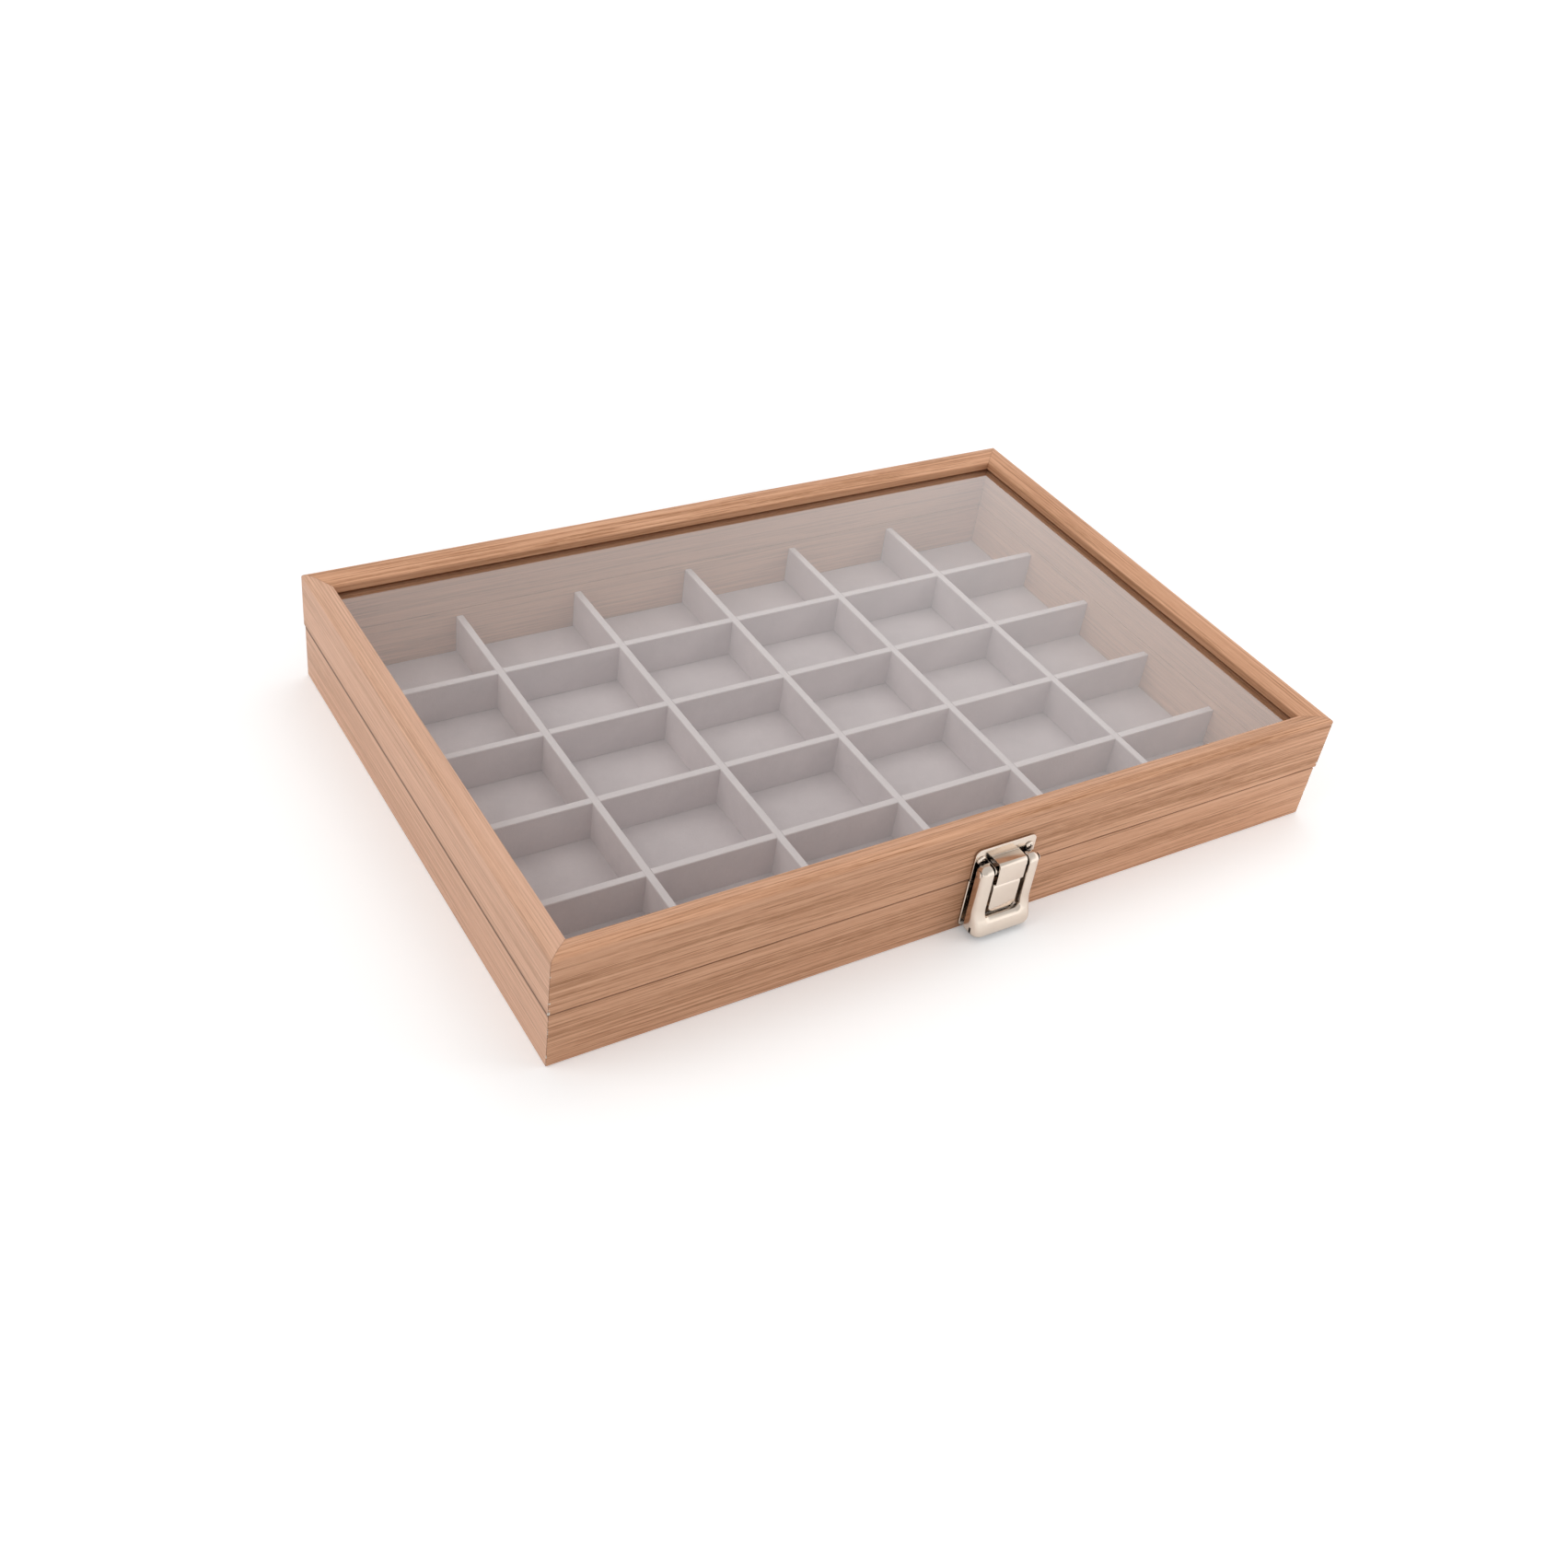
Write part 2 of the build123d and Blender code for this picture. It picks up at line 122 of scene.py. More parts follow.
class VelvetSettings(bpy.types.PropertyGroup):
    """Colours and forms of the velvet lining"""

    pile: bpy.props.FloatVectorProperty(
        name="Pile", description="Colour of the velvet where the pile lies down",
        subtype="COLOR", size=4, min=0, max=1, default=(0.54, 0.45, 0.455, 1))
    brushed: bpy.props.FloatVectorProperty(
        name="Brushed pile", description="Colour of the velvet where the pile stands up",
        subtype="COLOR", size=4, min=0, max=1, default=(0.70, 0.60, 0.60, 1))
    # Divider top colour: a painted highlight where light catches the tops of the dividers.
    pressed: bpy.props.FloatVectorProperty(
        name="Divider top", description="Colour of the velvet on top of the dividers",
        subtype="COLOR", size=4, min=0, max=1, default=(0.80, 0.71, 0.71, 1))
    top_round: bpy.props.FloatProperty(
        name="Divider rounding", description="Radius of the padded top edge of a divider",
        subtype="DISTANCE", unit="LENGTH", min=0.0002, default=0.35 * MM)
    pile_height: bpy.props.FloatProperty(
        name="Pile height", description="How far the pile stands out on each side of a divider",
        subtype="DISTANCE", unit="LENGTH", min=0, default=0.28 * MM)
    slot_clearance: bpy.props.FloatProperty(
        name="Slot clearance", description="Gap between crossing dividers on each side",
        subtype="DISTANCE", unit="LENGTH", min=0, default=0.02 * MM)
    cell_dip: bpy.props.FloatProperty(
        name="Floor dip", description="How far the floor velvet is drawn down beside the dividers",
        subtype="DISTANCE", unit="LENGTH", min=0, default=0.25 * MM)
    cell_dip_width: bpy.props.FloatProperty(
        name="Floor dip width", description="How far from a divider the floor velvet is drawn down",
        subtype="DISTANCE", unit="LENGTH", min=0.001, default=3 * MM)
    cell_columns: bpy.props.IntProperty(
        name="Columns", description="Cells from left to right", min=1, default=6)
    cell_rows: bpy.props.IntProperty(
        name="Rows", description="Cells from front to back", min=1, default=5)


class NickelSettings(bpy.types.PropertyGroup):
    """Colour and sheet-metal sizes of the latch and hinges"""

    plate: bpy.props.FloatVectorProperty(
        name="Nickel", description="Colour of the nickel plate",
        subtype="COLOR", size=4, min=0, max=1, default=(0.75, 0.65, 0.56, 1))
    worn: bpy.props.FloatVectorProperty(
        name="Worn nickel", description="Colour of the nickel where it is rubbed",
        subtype="COLOR", size=4, min=0, max=1, default=(0.66, 0.565, 0.48, 1))
    # The seam colour is painted shade: the dark put on the metal in the gaps between pieces, out to the
    # reach below.
    seam: bpy.props.FloatVectorProperty(
        name="Seam", description="Colour of the metal in the gaps between pieces",
        subtype="COLOR", size=4, min=0, max=1, default=(0.05, 0.035, 0.028, 1))
    shade_reach: bpy.props.FloatProperty(
        name="Seam reach", description="How far the dark of a gap reaches over the metal",
        subtype="DISTANCE", unit="LENGTH", min=0.0001, default=6 * MM)
    sheet: bpy.props.FloatProperty(
        name="Sheet", description="Thickness of the pressed sheet",
        subtype="DISTANCE", unit="LENGTH", min=0.0002, default=0.8 * MM)
    edge: bpy.props.FloatProperty(
        name="Sheet edge", description="Radius of the tumbled edges of flat sheet parts",
        subtype="DISTANCE", unit="LENGTH", min=0.00005, default=0.38 * MM)
    press_round: bpy.props.FloatProperty(
        name="Pressed edge", description="Radius of the outer edges of the latch frame",
        subtype="DISTANCE", unit="LENGTH", min=0.0002, default=2.5 * MM)
    window_round: bpy.props.FloatProperty(
        name="Window edge", description="Radius of the edges around the latch frame's opening",
        subtype="DISTANCE", unit="LENGTH", min=0.0002, default=0.7 * MM)
    window_width: bpy.props.FloatProperty(
        name="Window width", description="Opening between the arms of the latch frame",
        subtype="DISTANCE", unit="LENGTH", min=0.001, default=16.2 * MM)
    window_bottom: bpy.props.FloatProperty(
        name="Window bottom", description="Height of the bottom edge of the latch frame's opening",
        subtype="DISTANCE", unit="LENGTH", min=0.001, default=9.8 * MM)
    screw_head: bpy.props.FloatProperty(
        name="Latch screw head", description="Diameter of the heads of the latch screws",
        subtype="DISTANCE", unit="LENGTH", min=0.001, default=3.8 * MM)
    hinge_screw_head: bpy.props.FloatProperty(
        name="Hinge screw head", description="Diameter of the heads of the hinge screws",
        subtype="DISTANCE", unit="LENGTH", min=0.001, default=3.4 * MM)
    hinge_screw_spacing: bpy.props.FloatProperty(
        name="Hinge screw spacing", description="Distance between the two screws of a hinge leaf",
        subtype="DISTANCE", unit="LENGTH", min=0.001, default=18 * MM)


class StageSettings(bpy.types.PropertyGroup):
    """Camera, lamps and background"""

    camera_place: bpy.props.FloatVectorProperty(
        name="Camera", description="Place of the camera",
        subtype="TRANSLATION", unit="LENGTH", size=3, default=(-0.35293, -0.47143, 0.44531))
    camera_turn: bpy.props.FloatVectorProperty(
        name="Camera turn", description="Turn of the camera about X, Y and Z",
        subtype="EULER", unit="ROTATION", size=3,
        default=(radians(51.1504), radians(-7.0580), radians(-30.5588)))
    lens: bpy.props.FloatProperty(
        name="Lens", description="Focal length in millimetres on a 36 mm sensor",
        unit="CAMERA", min=1, default=39.92)
    ambient: bpy.props.FloatProperty(
        name="Ambient", description="Brightness of the surroundings as light", min=0, default=0.55)
    key_power: bpy.props.FloatProperty(
        name="Key lamp", description="Power of the large lamp on the left", unit="POWER", min=0, default=4.9)
    top_power: bpy.props.FloatProperty(
        name="Top lamp", description="Power of the overhead lamp", unit="POWER", min=0, default=3.6)
    fill_power: bpy.props.FloatProperty(
        name="Fill lamp", description="Power of the lamp at the front", unit="POWER", min=0, default=1.6)


# Shader building

class Link:
    """A shader socket on which arithmetic adds Math nodes."""

    def __init__(self, shader, socket):
        self.shader = shader
        self.socket = socket

    def math(self, operation, *others):
        values = dict(enumerate((self, *others)))
        return self.shader.node("Math", {"operation": operation}, values)

    def __add__(self, other):
        return self.math("ADD", other)

    def __radd__(self, other):
        return self.math("ADD", other)

    def __sub__(self, other):
        return self.math("SUBTRACT", other)

    def __rsub__(self, other):
        return (self * -1) + other

    def __mul__(self, other):
        return self.math("MULTIPLY", other)

    def __rmul__(self, other):
        return self.math("MULTIPLY", other)


class Shader:
    """A node tree, built up node by node."""

    def __init__(self, owner):
        owner.use_nodes = True
        self.tree = owner.node_tree
        self.tree.nodes.clear()

    def node(self, kind, settings=None, values=None, output=0):
        """Add a node with its settings, then the values or links of its sockets."""
        node = self.tree.nodes.new("ShaderNode" + kind)
        for key, value in (settings or {}).items():
            if key == "stops":
                self.set_stops(node.color_ramp, value)
            else:
                setattr(node, key, value)
        for key, value in (values or {}).items():
            if isinstance(value, Link):
                self.tree.links.new(value.socket, node.inputs[key])
            else:
                node.inputs[key].default_value = value
        return Link(self, node.outputs[output]) if node.outputs else None

    def set_stops(self, ramp, stops):
        """Give a colour ramp its stops, as pairs of a place and a grey value."""
        while len(ramp.elements) < len(stops):
            ramp.elements.new(1)
        for element, (place, grey) in zip(ramp.elements, stops):
            element.position = place
            element.color = (grey, grey, grey, 1)

    def place(self, turn=0.0, shift=(0, 0, 0)):
        """Object coordinates, turned about Z and shifted."""
        coordinates = self.node("TexCoord", output="Object")
        return self.node("Mapping", {}, {"Vector": coordinates, "Location": shift, "Rotation": (0, 0, turn)})

    def scaled(self, vector, scale):
        return self.node("VectorMath", {"operation": "MULTIPLY"}, {0: vector, 1: scale})

    def noise(self, vector, scale, detail=2.0, roughness=0.5):
        """Noise between about 0.3 and 0.7, with its own scale along each axis."""
        place = self.scaled(vector, scale)
        values = {"Vector": place, "Scale": 1.0, "Detail": detail, "Roughness": roughness}
        return self.node("TexNoise", {}, values)

    def ramp(self, value, *stops):
        return self.node("ValToRGB", {"stops": stops}, {"Fac": value})

    def mixed(self, factor, first, second, blend="MIX"):
        """A mix of two colours."""
        node = self.tree.nodes.new("ShaderNodeMix")
        node.data_type = "RGBA"
        node.blend_type = blend
        for socket, value in ((node.inputs[0], factor), (node.inputs[6], first), (node.inputs[7], second)):
            if isinstance(value, Link):
                self.tree.links.new(value.socket, socket)
            else:
                socket.default_value = value
        return Link(self, node.outputs[2])

    def finish(self, surface):
        kind = "OutputWorld" if isinstance(self.tree.id_data, bpy.types.World) else "OutputMaterial"
        self.node(kind, {}, {"Surface": surface})


def new_material(name):
    material = bpy.data.materials.new(name)
    return material, Shader(material)


def principled(shader, colour, roughness, normal=None, **settings):
    """A Principled shader. Settings are socket names with underscores for spaces."""
    values = {"Base Color": colour, "Roughness": roughness}
    for key, value in settings.items():
        values[key.replace("_", " ")] = value
    if normal is not None:
        values["Normal"] = normal
    return shader.node("BsdfPrincipled", {}, values)


def dress(piece, material):
    """Make this the piece's only material."""
    piece.data.materials.clear()
    piece.data.materials.append(material)


def wood_material(name, look, along_y, shift, paler):
    """Fine straight-grained wood, with its grain along X or along Y. Paler boards have finer, weaker grain
    and a painted paler tone, which is painted light. The inner faces above the glass and, in part, the outer
    seam carry painted shade.
    """
    material, s = new_material(name)
    place = s.place(radians(90) if along_y else 0, shift)
    wave = s.noise(place, (3.2, 24, 24), 2)
    bend = s.node("CombineXYZ", {}, {1: (wave - 0.5) * (5 * MM), 2: (wave - 0.5) * (-4 * MM)})
    grain = s.node("VectorMath", {"operation": "ADD"}, {0: place, 1: bend})
    along = 1 / look.streak_length
    across = (1 + paler) / look.streak_width
    band = s.noise(grain, (along * 0.25, across * 0.12, across * 0.12), 1)
    streak = s.noise(grain, (along, across, across), 3, 0.6)
    line = s.noise(grain, (along * 2.0, across * 1.7, across * 1.7), 1, 0.5)
    fibre = s.noise(grain, (along * 16, across * 2.6, across * 2.6), 2, 0.6)
    dark = s.ramp(streak + (band - 0.5) * 0.45, (0.28, 1), (0.54, 0))
    thin = s.ramp(line + (band - 0.5) * 0.3, (0.33, 1), (0.44, 0))
    light = s.ramp(streak * 0.6 + line * 0.4, (0.50, 0), (0.68, 1))
    strength = 1 - paler
    colour = s.mixed(light * 0.7, look.ground, look.pale)
    colour = s.mixed(dark * (0.8 * strength), colour, look.streak)
    colour = s.mixed(thin * (0.95 * strength), colour, look.streak)
    colour = s.mixed((fibre - 0.5) * 1.6 + 0.10, colour, look.pale)
    # Paler rails mixed towards the pale tone: painted light of the lamp side.
    colour = s.mixed(paler, colour, look.pale_tone)
    # Painted shade on the inner faces above the glass, darkest at the glass line; the inner faces below are
    # paler.
    above, below = inner_faces(s)
    colour = s.mixed(above, colour, look.streak)
    colour = s.mixed(below * 0.45, colour, look.pale_tone)
    # The outer seam band is partly the dark board edge and partly painted shade in the seam groove.
    shade_reach = SIDE_SEAM_REACH if along_y else FRONT_SEAM_REACH
    colour = s.mixed(joints_and_seam_shade(s, shade_reach), colour, look.joint)
    chip = worn_corners(s)
    colour = s.mixed(chip, colour, look.chipped)
    soft = s.node("Bevel", {"samples": 3}, {"Radius": look.edge_round})
    bump = s.node("Bump", {}, {
        "Strength": 0.35, "Distance": 0.12 * MM, "Normal": soft,
        "Height": fibre * 0.5 - dark * 0.35 - thin * 0.4 - chip})
    s.finish(principled(s, colour, 0.50 + dark * 0.10 - light * 0.05, bump, Specular_IOR_Level=0.35))
    return material


def object_axes(s):
    """The X, Y and Z of the object's own coordinates."""
    return [s.node("SeparateXYZ", {}, {0: s.place()}, axis) for axis in range(3)]


def insets(s):
    """The distances from the case's sides and from its front or back, and the height."""
    x, y, z = object_axes(s)
    return (x.math("ABSOLUTE") - CASE_HALF_WIDTH) * -1, (y.math("ABSOLUTE") + LID_FRONT_Y) * -1, z


def joints_and_seam_shade(s, shade_reach):
    """A mask of the outer seam between lid and base, partly the dark board edge and partly painted shade in
    the seam groove, and of the fine mitre lines at the corners.
    """
    inset_x, inset_y, z = insets(s)
    outside = inset_x.math("MINIMUM", inset_y).math("LESS_THAN", MM)
    seam = (z - (BASE_TOP + SEAM_GAP / 2)).math("ABSOLUTE")
    seam = s.ramp(seam * (1 / shade_reach), (0.45, 1), (1.0, 0)) * outside * 0.85
    mitre = (inset_x - inset_y).math("ABSOLUTE").math("LESS_THAN", MITRE_REACH)
    return seam.math("MAXIMUM", mitre * 0.25)


def inner_faces(s):
    """Masks of the rails' inner faces above the glass, with painted shade that is darkest as a painted
    shadow at the glass line, and of the paler ones below.
    """
    inset_x, inset_y, z = insets(s)
    inner = inset_x.math("MINIMUM", inset_y).math("GREATER_THAN", RAIL_WIDTH - 0.3 * MM)
    # Painted shadow of the glass groove: a narrow band at the glass line.
    glass_line_shadow = (z - GLASS_TOP).math("ABSOLUTE").math("LESS_THAN", 0.5 * MM)
    above = z.math("GREATER_THAN", GLASS_TOP - 3 * MM)
    return inner * above * (glass_line_shadow * 0.5 + 0.4), inner * (1 - above)


def worn_corners(s):
    """A mask of small chips along the upright outer corners, mostly beside the seam."""
    x, y, z = object_axes(s)
    chips = s.noise(s.place(), (380, 380, 900), 3, 0.7)
    near_x = x.math("ABSOLUTE").math("GREATER_THAN", CASE_HALF_WIDTH - 0.7 * MM)
    near_y = y.math("ABSOLUTE").math("GREATER_THAN", -LID_FRONT_Y - 0.7 * MM)
    below = s.node("MapRange", {}, {
        "Value": (z - BASE_TOP).math("ABSOLUTE"),
        "From Min": 0, "From Max": 0.007, "To Min": 0.13, "To Max": 0.0})
    bare = (chips + below).math("GREATER_THAN", 0.62)
    return near_x * near_y * bare


def velvet_material(name, look):
    """Short brushed pile: a sheen, a fine nap, paler brushed patches and a painted highlight on the divider
    tops.
    """
    material, s = new_material(name)
    place = s.place()
    patch = s.noise(place, (38, 38, 38), 3, 0.6)
    nap = s.noise(place, (1500, 1500, 1500), 2, 0.6)
    fleck = s.noise(place, (520, 520, 520), 2, 0.6)
    brushed = patch * 1.3 + nap * 0.4 + fleck * 0.3 - 0.58
    colour = s.mixed(brushed, look.pile, look.brushed)
    # Painted highlight: the velvet is paler towards the tops of the dividers.
    below_top = (object_axes(s)[2] - DIVIDER_TOP) * (1 / look.top_round)
    top = s.ramp(below_top + 2, (0.0, 0), (1.0, 1))
    colour = s.mixed(top * 0.5, colour, look.pressed)
    bump = s.node("Bump", {}, {"Strength": 0.45, "Distance": 0.25 * MM, "Height": nap + fleck * 0.6})
    s.finish(principled(
        s, colour, 0.95, bump, Specular_IOR_Level=0.15, Sheen_Weight=0.6, Sheen_Roughness=0.5,
        Sheen_Tint=(1.0, 0.90, 0.91, 1)))
    return material


def nickel_material(name, look, soft_edges):
    """Mirror-bright nickel plate, rubbed a little, with painted shade where pieces lie close together."""
    material, s = new_material(name)
    place = s.place()
    cloud = s.noise(place, (120, 120, 120), 3, 0.6)
    rub = s.noise(place, (900, 900, 260), 2, 0.7)
    values = {"Strength": 0.08, "Distance": 0.05 * MM, "Height": rub}
    if soft_edges:
        values["Normal"] = s.node("Bevel", {"samples": 4}, {"Radius": look.edge})
    bump = s.node("Bump", {}, values)
    # Painted shade: the metal goes dark towards the seam colour where ambient occlusion finds pieces close
    # by.
    open_air = s.node("AmbientOcclusion", {"samples": 6}, {"Distance": look.shade_reach}, 1)
    colour = s.mixed((cloud - 0.4) * 0.9, look.plate, look.worn)
    colour = s.mixed(s.ramp(open_air, (0.34, 0), (0.60, 1)), look.seam, colour)
    s.finish(principled(s, colour, 0.09 + cloud * 0.10 + rub * 0.04, bump, Metallic=1.0))
    return material


def glass_material(name):
    """Clear window glass: rays go straight through, and its outer face mirrors the share of both faces."""
    material, s = new_material(name)
    inward = s.node("NewGeometry", output="Backfacing")
    both_faces = 2.4
    facing = s.node("Fresnel", {}, {"IOR": 1.5}) * both_faces * (1 - inward)
    clear = s.node("BsdfTransparent", {}, {"Color": (0.975, 0.985, 0.98, 1)})
    shine = s.node("BsdfGlossy", {}, {"Color": (1, 1, 1, 1), "Roughness": 0.0})
    s.finish(s.node("MixShader", {}, {0: facing, 1: clear, 2: shine}))
    return material


def board_material(name):
    """Plain brown fibre board."""
    material, s = new_material(name)
    place = s.place()
    fleck = s.noise(place, (700, 260, 700), 3, 0.65)
    cloud = s.noise(place, (22, 22, 22), 2)
    colour = s.mixed(fleck * 1.2 - 0.2, (0.30, 0.19, 0.115, 1), (0.45, 0.31, 0.20, 1))
    colour = s.mixed((cloud - 0.45) * 1.5, colour, (0.25, 0.16, 0.10, 1))
    bump = s.node("Bump", {}, {"Strength": 0.3, "Distance": 0.1 * MM, "Height": fleck})
    s.finish(principled(s, colour, 0.72, bump))
    return material


# Modelling help

def pick(*pieces):
    """Select these pieces alone and make the first one active."""
    bpy.ops.object.select_all(action="DESELECT")
    for piece in pieces:
        piece.select_set(True)
    if pieces:
        bpy.context.view_layer.objects.active = pieces[0]


def add(kind, name, **settings):
    """Add a primitive and name it."""
    pick()
    getattr(bpy.ops.mesh, f"primitive_{kind}_add")(**settings)
    piece = bpy.context.object
    piece.name = name
    piece.data.name = name
    return piece


def set_place(piece):
    """Move the object's place, turn and size into its mesh."""
    pick(piece)
    bpy.ops.object.transform_apply(location=True, rotation=True, scale=True)


def block(name, low, high):
    """A box between two corners."""
    piece = add("cube", name, size=1, location=(Vector(low) + Vector(high)) / 2)
    piece.scale = Vector(high) - Vector(low)
    set_place(piece)
    return piece


def front_sheet(name, left, right, bottom, top, y):
    """A flat sheet that faces the front."""
    centre = ((left + right) / 2, y, (bottom + top) / 2)
    piece = add("plane", name, size=1, location=centre, rotation=(radians(90), 0, 0))
    piece.scale = (right - left, top - bottom, 1)
    set_place(piece)
    return piece


def edit(piece):
    """Open the piece in edit mode with nothing selected."""
    pick(piece)
    bpy.ops.object.mode_set(mode="EDIT")
    bpy.ops.mesh.select_all(action="DESELECT")


def leave():
    bpy.ops.object.mode_set(mode="OBJECT")


def select(piece, kind, test):
    """In edit mode, select the VERT, EDGE or FACE elements that pass a test."""
    bpy.ops.mesh.select_mode(type=kind)
    bpy.ops.mesh.select_all(action="DESELECT")
    mesh = bmesh.from_edit_mesh(piece.data)
    for item in {"VERT": mesh.verts, "EDGE": mesh.edges, "FACE": mesh.faces}[kind]:
        if test(item):
            item.select_set(True)
    mesh.select_flush_mode()
    bmesh.update_edit_mesh(piece.data)


def cut(point, normal):
    """In edit mode, cut the whole mesh along a plane and keep both sides."""
    bpy.ops.mesh.select_all(action="SELECT")
    bpy.ops.mesh.bisect(plane_co=point, plane_no=normal, use_fill=False)


def near(value, other, slack=0.02 * MM):
    return abs(value - other) < slack


def middle(edge):
    return (edge.verts[0].co + edge.verts[1].co) / 2


def apply_modifier(piece, kind, **settings):
    """Add a modifier with its settings and apply it."""
    pick(piece)
    modifier = piece.modifiers.new(kind.title(), kind)
    for key, value in settings.items():
        setattr(modifier, key, value)
    bpy.ops.object.modifier_apply(modifier=modifier.name)


def carve(piece, cutter):
    """Take the cutter's form out of the piece and delete the cutter."""
    apply_modifier(piece, "BOOLEAN", operation="DIFFERENCE", object=cutter, solver="EXACT")
    bpy.data.objects.remove(cutter)


def unite(piece, other):
    """Merge another solid into the piece and delete the other."""
    apply_modifier(piece, "BOOLEAN", operation="UNION", object=other, solver="EXACT")
    bpy.data.objects.remove(other)


def round_corners(piece, test, size):
    """In edit mode, round the corner points of a sheet that pass a test."""
    select(piece, "VERT", test)
    bpy.ops.mesh.bevel(offset=size, segments=6, affect="VERTICES")


def soften(piece, size):
    """Round the sharp edges of a finished sheet part."""
    apply_modifier(piece, "BEVEL", width=size, segments=3, limit_method="ANGLE", angle_limit=radians(40))
    smooth(piece, 40)


def turned(name, centre, axis, rings, vertices=24):
    """A round solid built up along an axis, from rings given as pairs of radius and place along it."""
    radius, out = rings[0]
    piece = add(
        "circle", name, vertices=vertices, radius=radius, fill_type="NGON",
        location=centre + axis * out, rotation=axis.to_track_quat("Z", "Y").to_euler())
    set_place(piece)
    edit(piece)
    bpy.ops.mesh.select_all(action="SELECT")
    for next_radius, next_out in rings[1:]:
        bpy.ops.mesh.extrude_region_move(TRANSFORM_OT_translate={"value": axis * (next_out - out)})
        scale = next_radius / radius
        bpy.ops.transform.resize(value=[1 if part else scale for part in axis], center_override=centre)
        radius, out = next_radius, next_out
    bpy.ops.mesh.select_all(action="SELECT")
    bpy.ops.mesh.normals_make_consistent(inside=False)
    leave()
    return piece


def smooth(piece, degrees=35):
    pick(piece)
    bpy.ops.object.shade_smooth_by_angle(angle=radians(degrees))


def joined(pieces, name):
    """Join pieces into one object."""
    pick(*pieces)
    if len(pieces) > 1:
        bpy.ops.object.join()
    pieces[0].name = name
    pieces[0].data.name = name
    return pieces[0]


def copied(piece, name, offset):
    """A copy with its own mesh, moved by an offset."""
    pick(piece)
    bpy.ops.object.duplicate(linked=False)
    twin = bpy.context.object
    twin.name = name
    twin.data.name = name
    twin.location = offset
    set_place(twin)
    return twin


def seat(piece, body, slot, material, *nodes):
    """Dress a finished piece and hang it on its body in place of CAD nodes."""
    dress(piece, material)
    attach(piece, body)
    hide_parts(*nodes)


# Velvet

def divider_piece(name, node, along_y, crossings, look):
    """One padded divider with a round top and half-depth slots at its crossings."""
    low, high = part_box(node)
    pile = Vector((1, 0, 0) if along_y else (0, 1, 0)) * look.pile_height
    low, high = low - pile, high + pile
    centre = (low + high) / 2
    along, across = (1, 0) if along_y else (0, 1)
    piece = block(name, low, high)
    edit(piece)
    select(piece, "EDGE", lambda e: near(middle(e).z, high.z) and near(middle(e)[along], centre[along]))
    bpy.ops.mesh.bevel(offset=look.top_round, segments=6, affect="EDGES")
    leave()
    half = (high[across] - low[across]) / 2 + look.slot_clearance
    overlap = 0.1 * MM
    bottom, top = (low.z - MM, centre.z + overlap) if along_y else (centre.z - overlap, high.z + MM)
    cutters = []
    for crossing in crossings:
        x, y = (centre.x, crossing) if along_y else (crossing, centre.y)
        cutters.append(block("slot", (x - half, y - half, bottom), (x + half, y + half, top)))
    carve(piece, joined(cutters, "slots"))
    smooth(piece)
    return piece


class DISPLAYBOX_OT_velvet_dividers(bpy.types.Operator):
    """Model the velvet dividers: five from front to back and four from left to right"""

    bl_idname = "displaybox.velvet_dividers"
    bl_label = "Velvet dividers"

    def execute(self, context):
        look = context.scene.displaybox_velvet
        material = bpy.data.materials["brushed_velvet"]
        cross = [f"divider_cross_{i}" for i in range(1, look.cell_columns)]
        long = [f"divider_long_{i}" for i in range(1, look.cell_rows)]
        xs = [sum(corner.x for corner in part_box(node)) / 2 for node in cross]
        ys = [sum(corner.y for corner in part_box(node)) / 2 for node in long]
        for nodes, along_y, crossings, places in ((cross, True, ys, xs), (long, False, xs, ys)):
            first = divider_piece(f"velvet_{nodes[0]}", nodes[0], along_y, crossings, look)
            seat(first, "base", "velvet", material, nodes[0])
            for node, place in zip(nodes[1:], places[1:]):
                step = place - places[0]
                offset = (step, 0, 0) if along_y else (0, step, 0)
                twin = copied(first, f"velvet_{node}", offset)
                seat(twin, "base", "velvet", material, node)
        return {"FINISHED"}


class DISPLAYBOX_OT_velvet_floor(bpy.types.Operator):
    """Lay the velvet floor, drawn down a little beside every divider"""

    bl_idname = "displaybox.velvet_floor"
    bl_label = "Velvet floor"

    def execute(self, context):
        look = context.scene.displaybox_velvet
        low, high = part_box("floor_liner")
        dip_level = high.z - look.cell_dip
        piece = add(
            "grid", "velvet_floor", size=1, location=(0, 0, dip_level),
            x_subdivisions=look.cell_columns, y_subdivisions=look.cell_rows)
        piece.scale = (high.x - low.x, high.y - low.y, 1)
        set_place(piece)
        edit(piece)
        bpy.ops.mesh.select_mode(type="FACE")
        bpy.ops.mesh.select_all(action="SELECT")
        bpy.ops.mesh.inset(thickness=look.cell_dip_width, use_individual=True)
        bpy.ops.transform.translate(value=(0, 0, look.cell_dip))
        leave()
        apply_modifier(piece, "SOLIDIFY", thickness=high.z - low.z - look.cell_dip, offset=-1)
        smooth(piece, 60)
        seat(piece, "base", "velvet", bpy.data.materials["brushed_velvet"], "floor_liner")
        return {"FINISHED"}


# Latch

PLATE_THICKNESS = 1.0 * MM
PLATE_CORNER = 2.6 * MM
HOOD_WIDTH = 12.6 * MM
HOOD_TOP = 35.0 * MM
HOOD_ROUND = 1.6 * MM
EAR_GAP = 0.25 * MM
EAR_RADIUS = 2.0 * MM
PIN_RADIUS = 1.0 * MM
PIN_HEAD_HEIGHT = 0.5 * MM
TONGUE_REACH = 6.2 * MM
TONGUE_BOTTOM = 10.8 * MM
CATCH_LEG_BOTTOM = 12.5 * MM
CATCH_ROUND = 2.2 * MM
CATCH_CORNER = 2.8 * MM

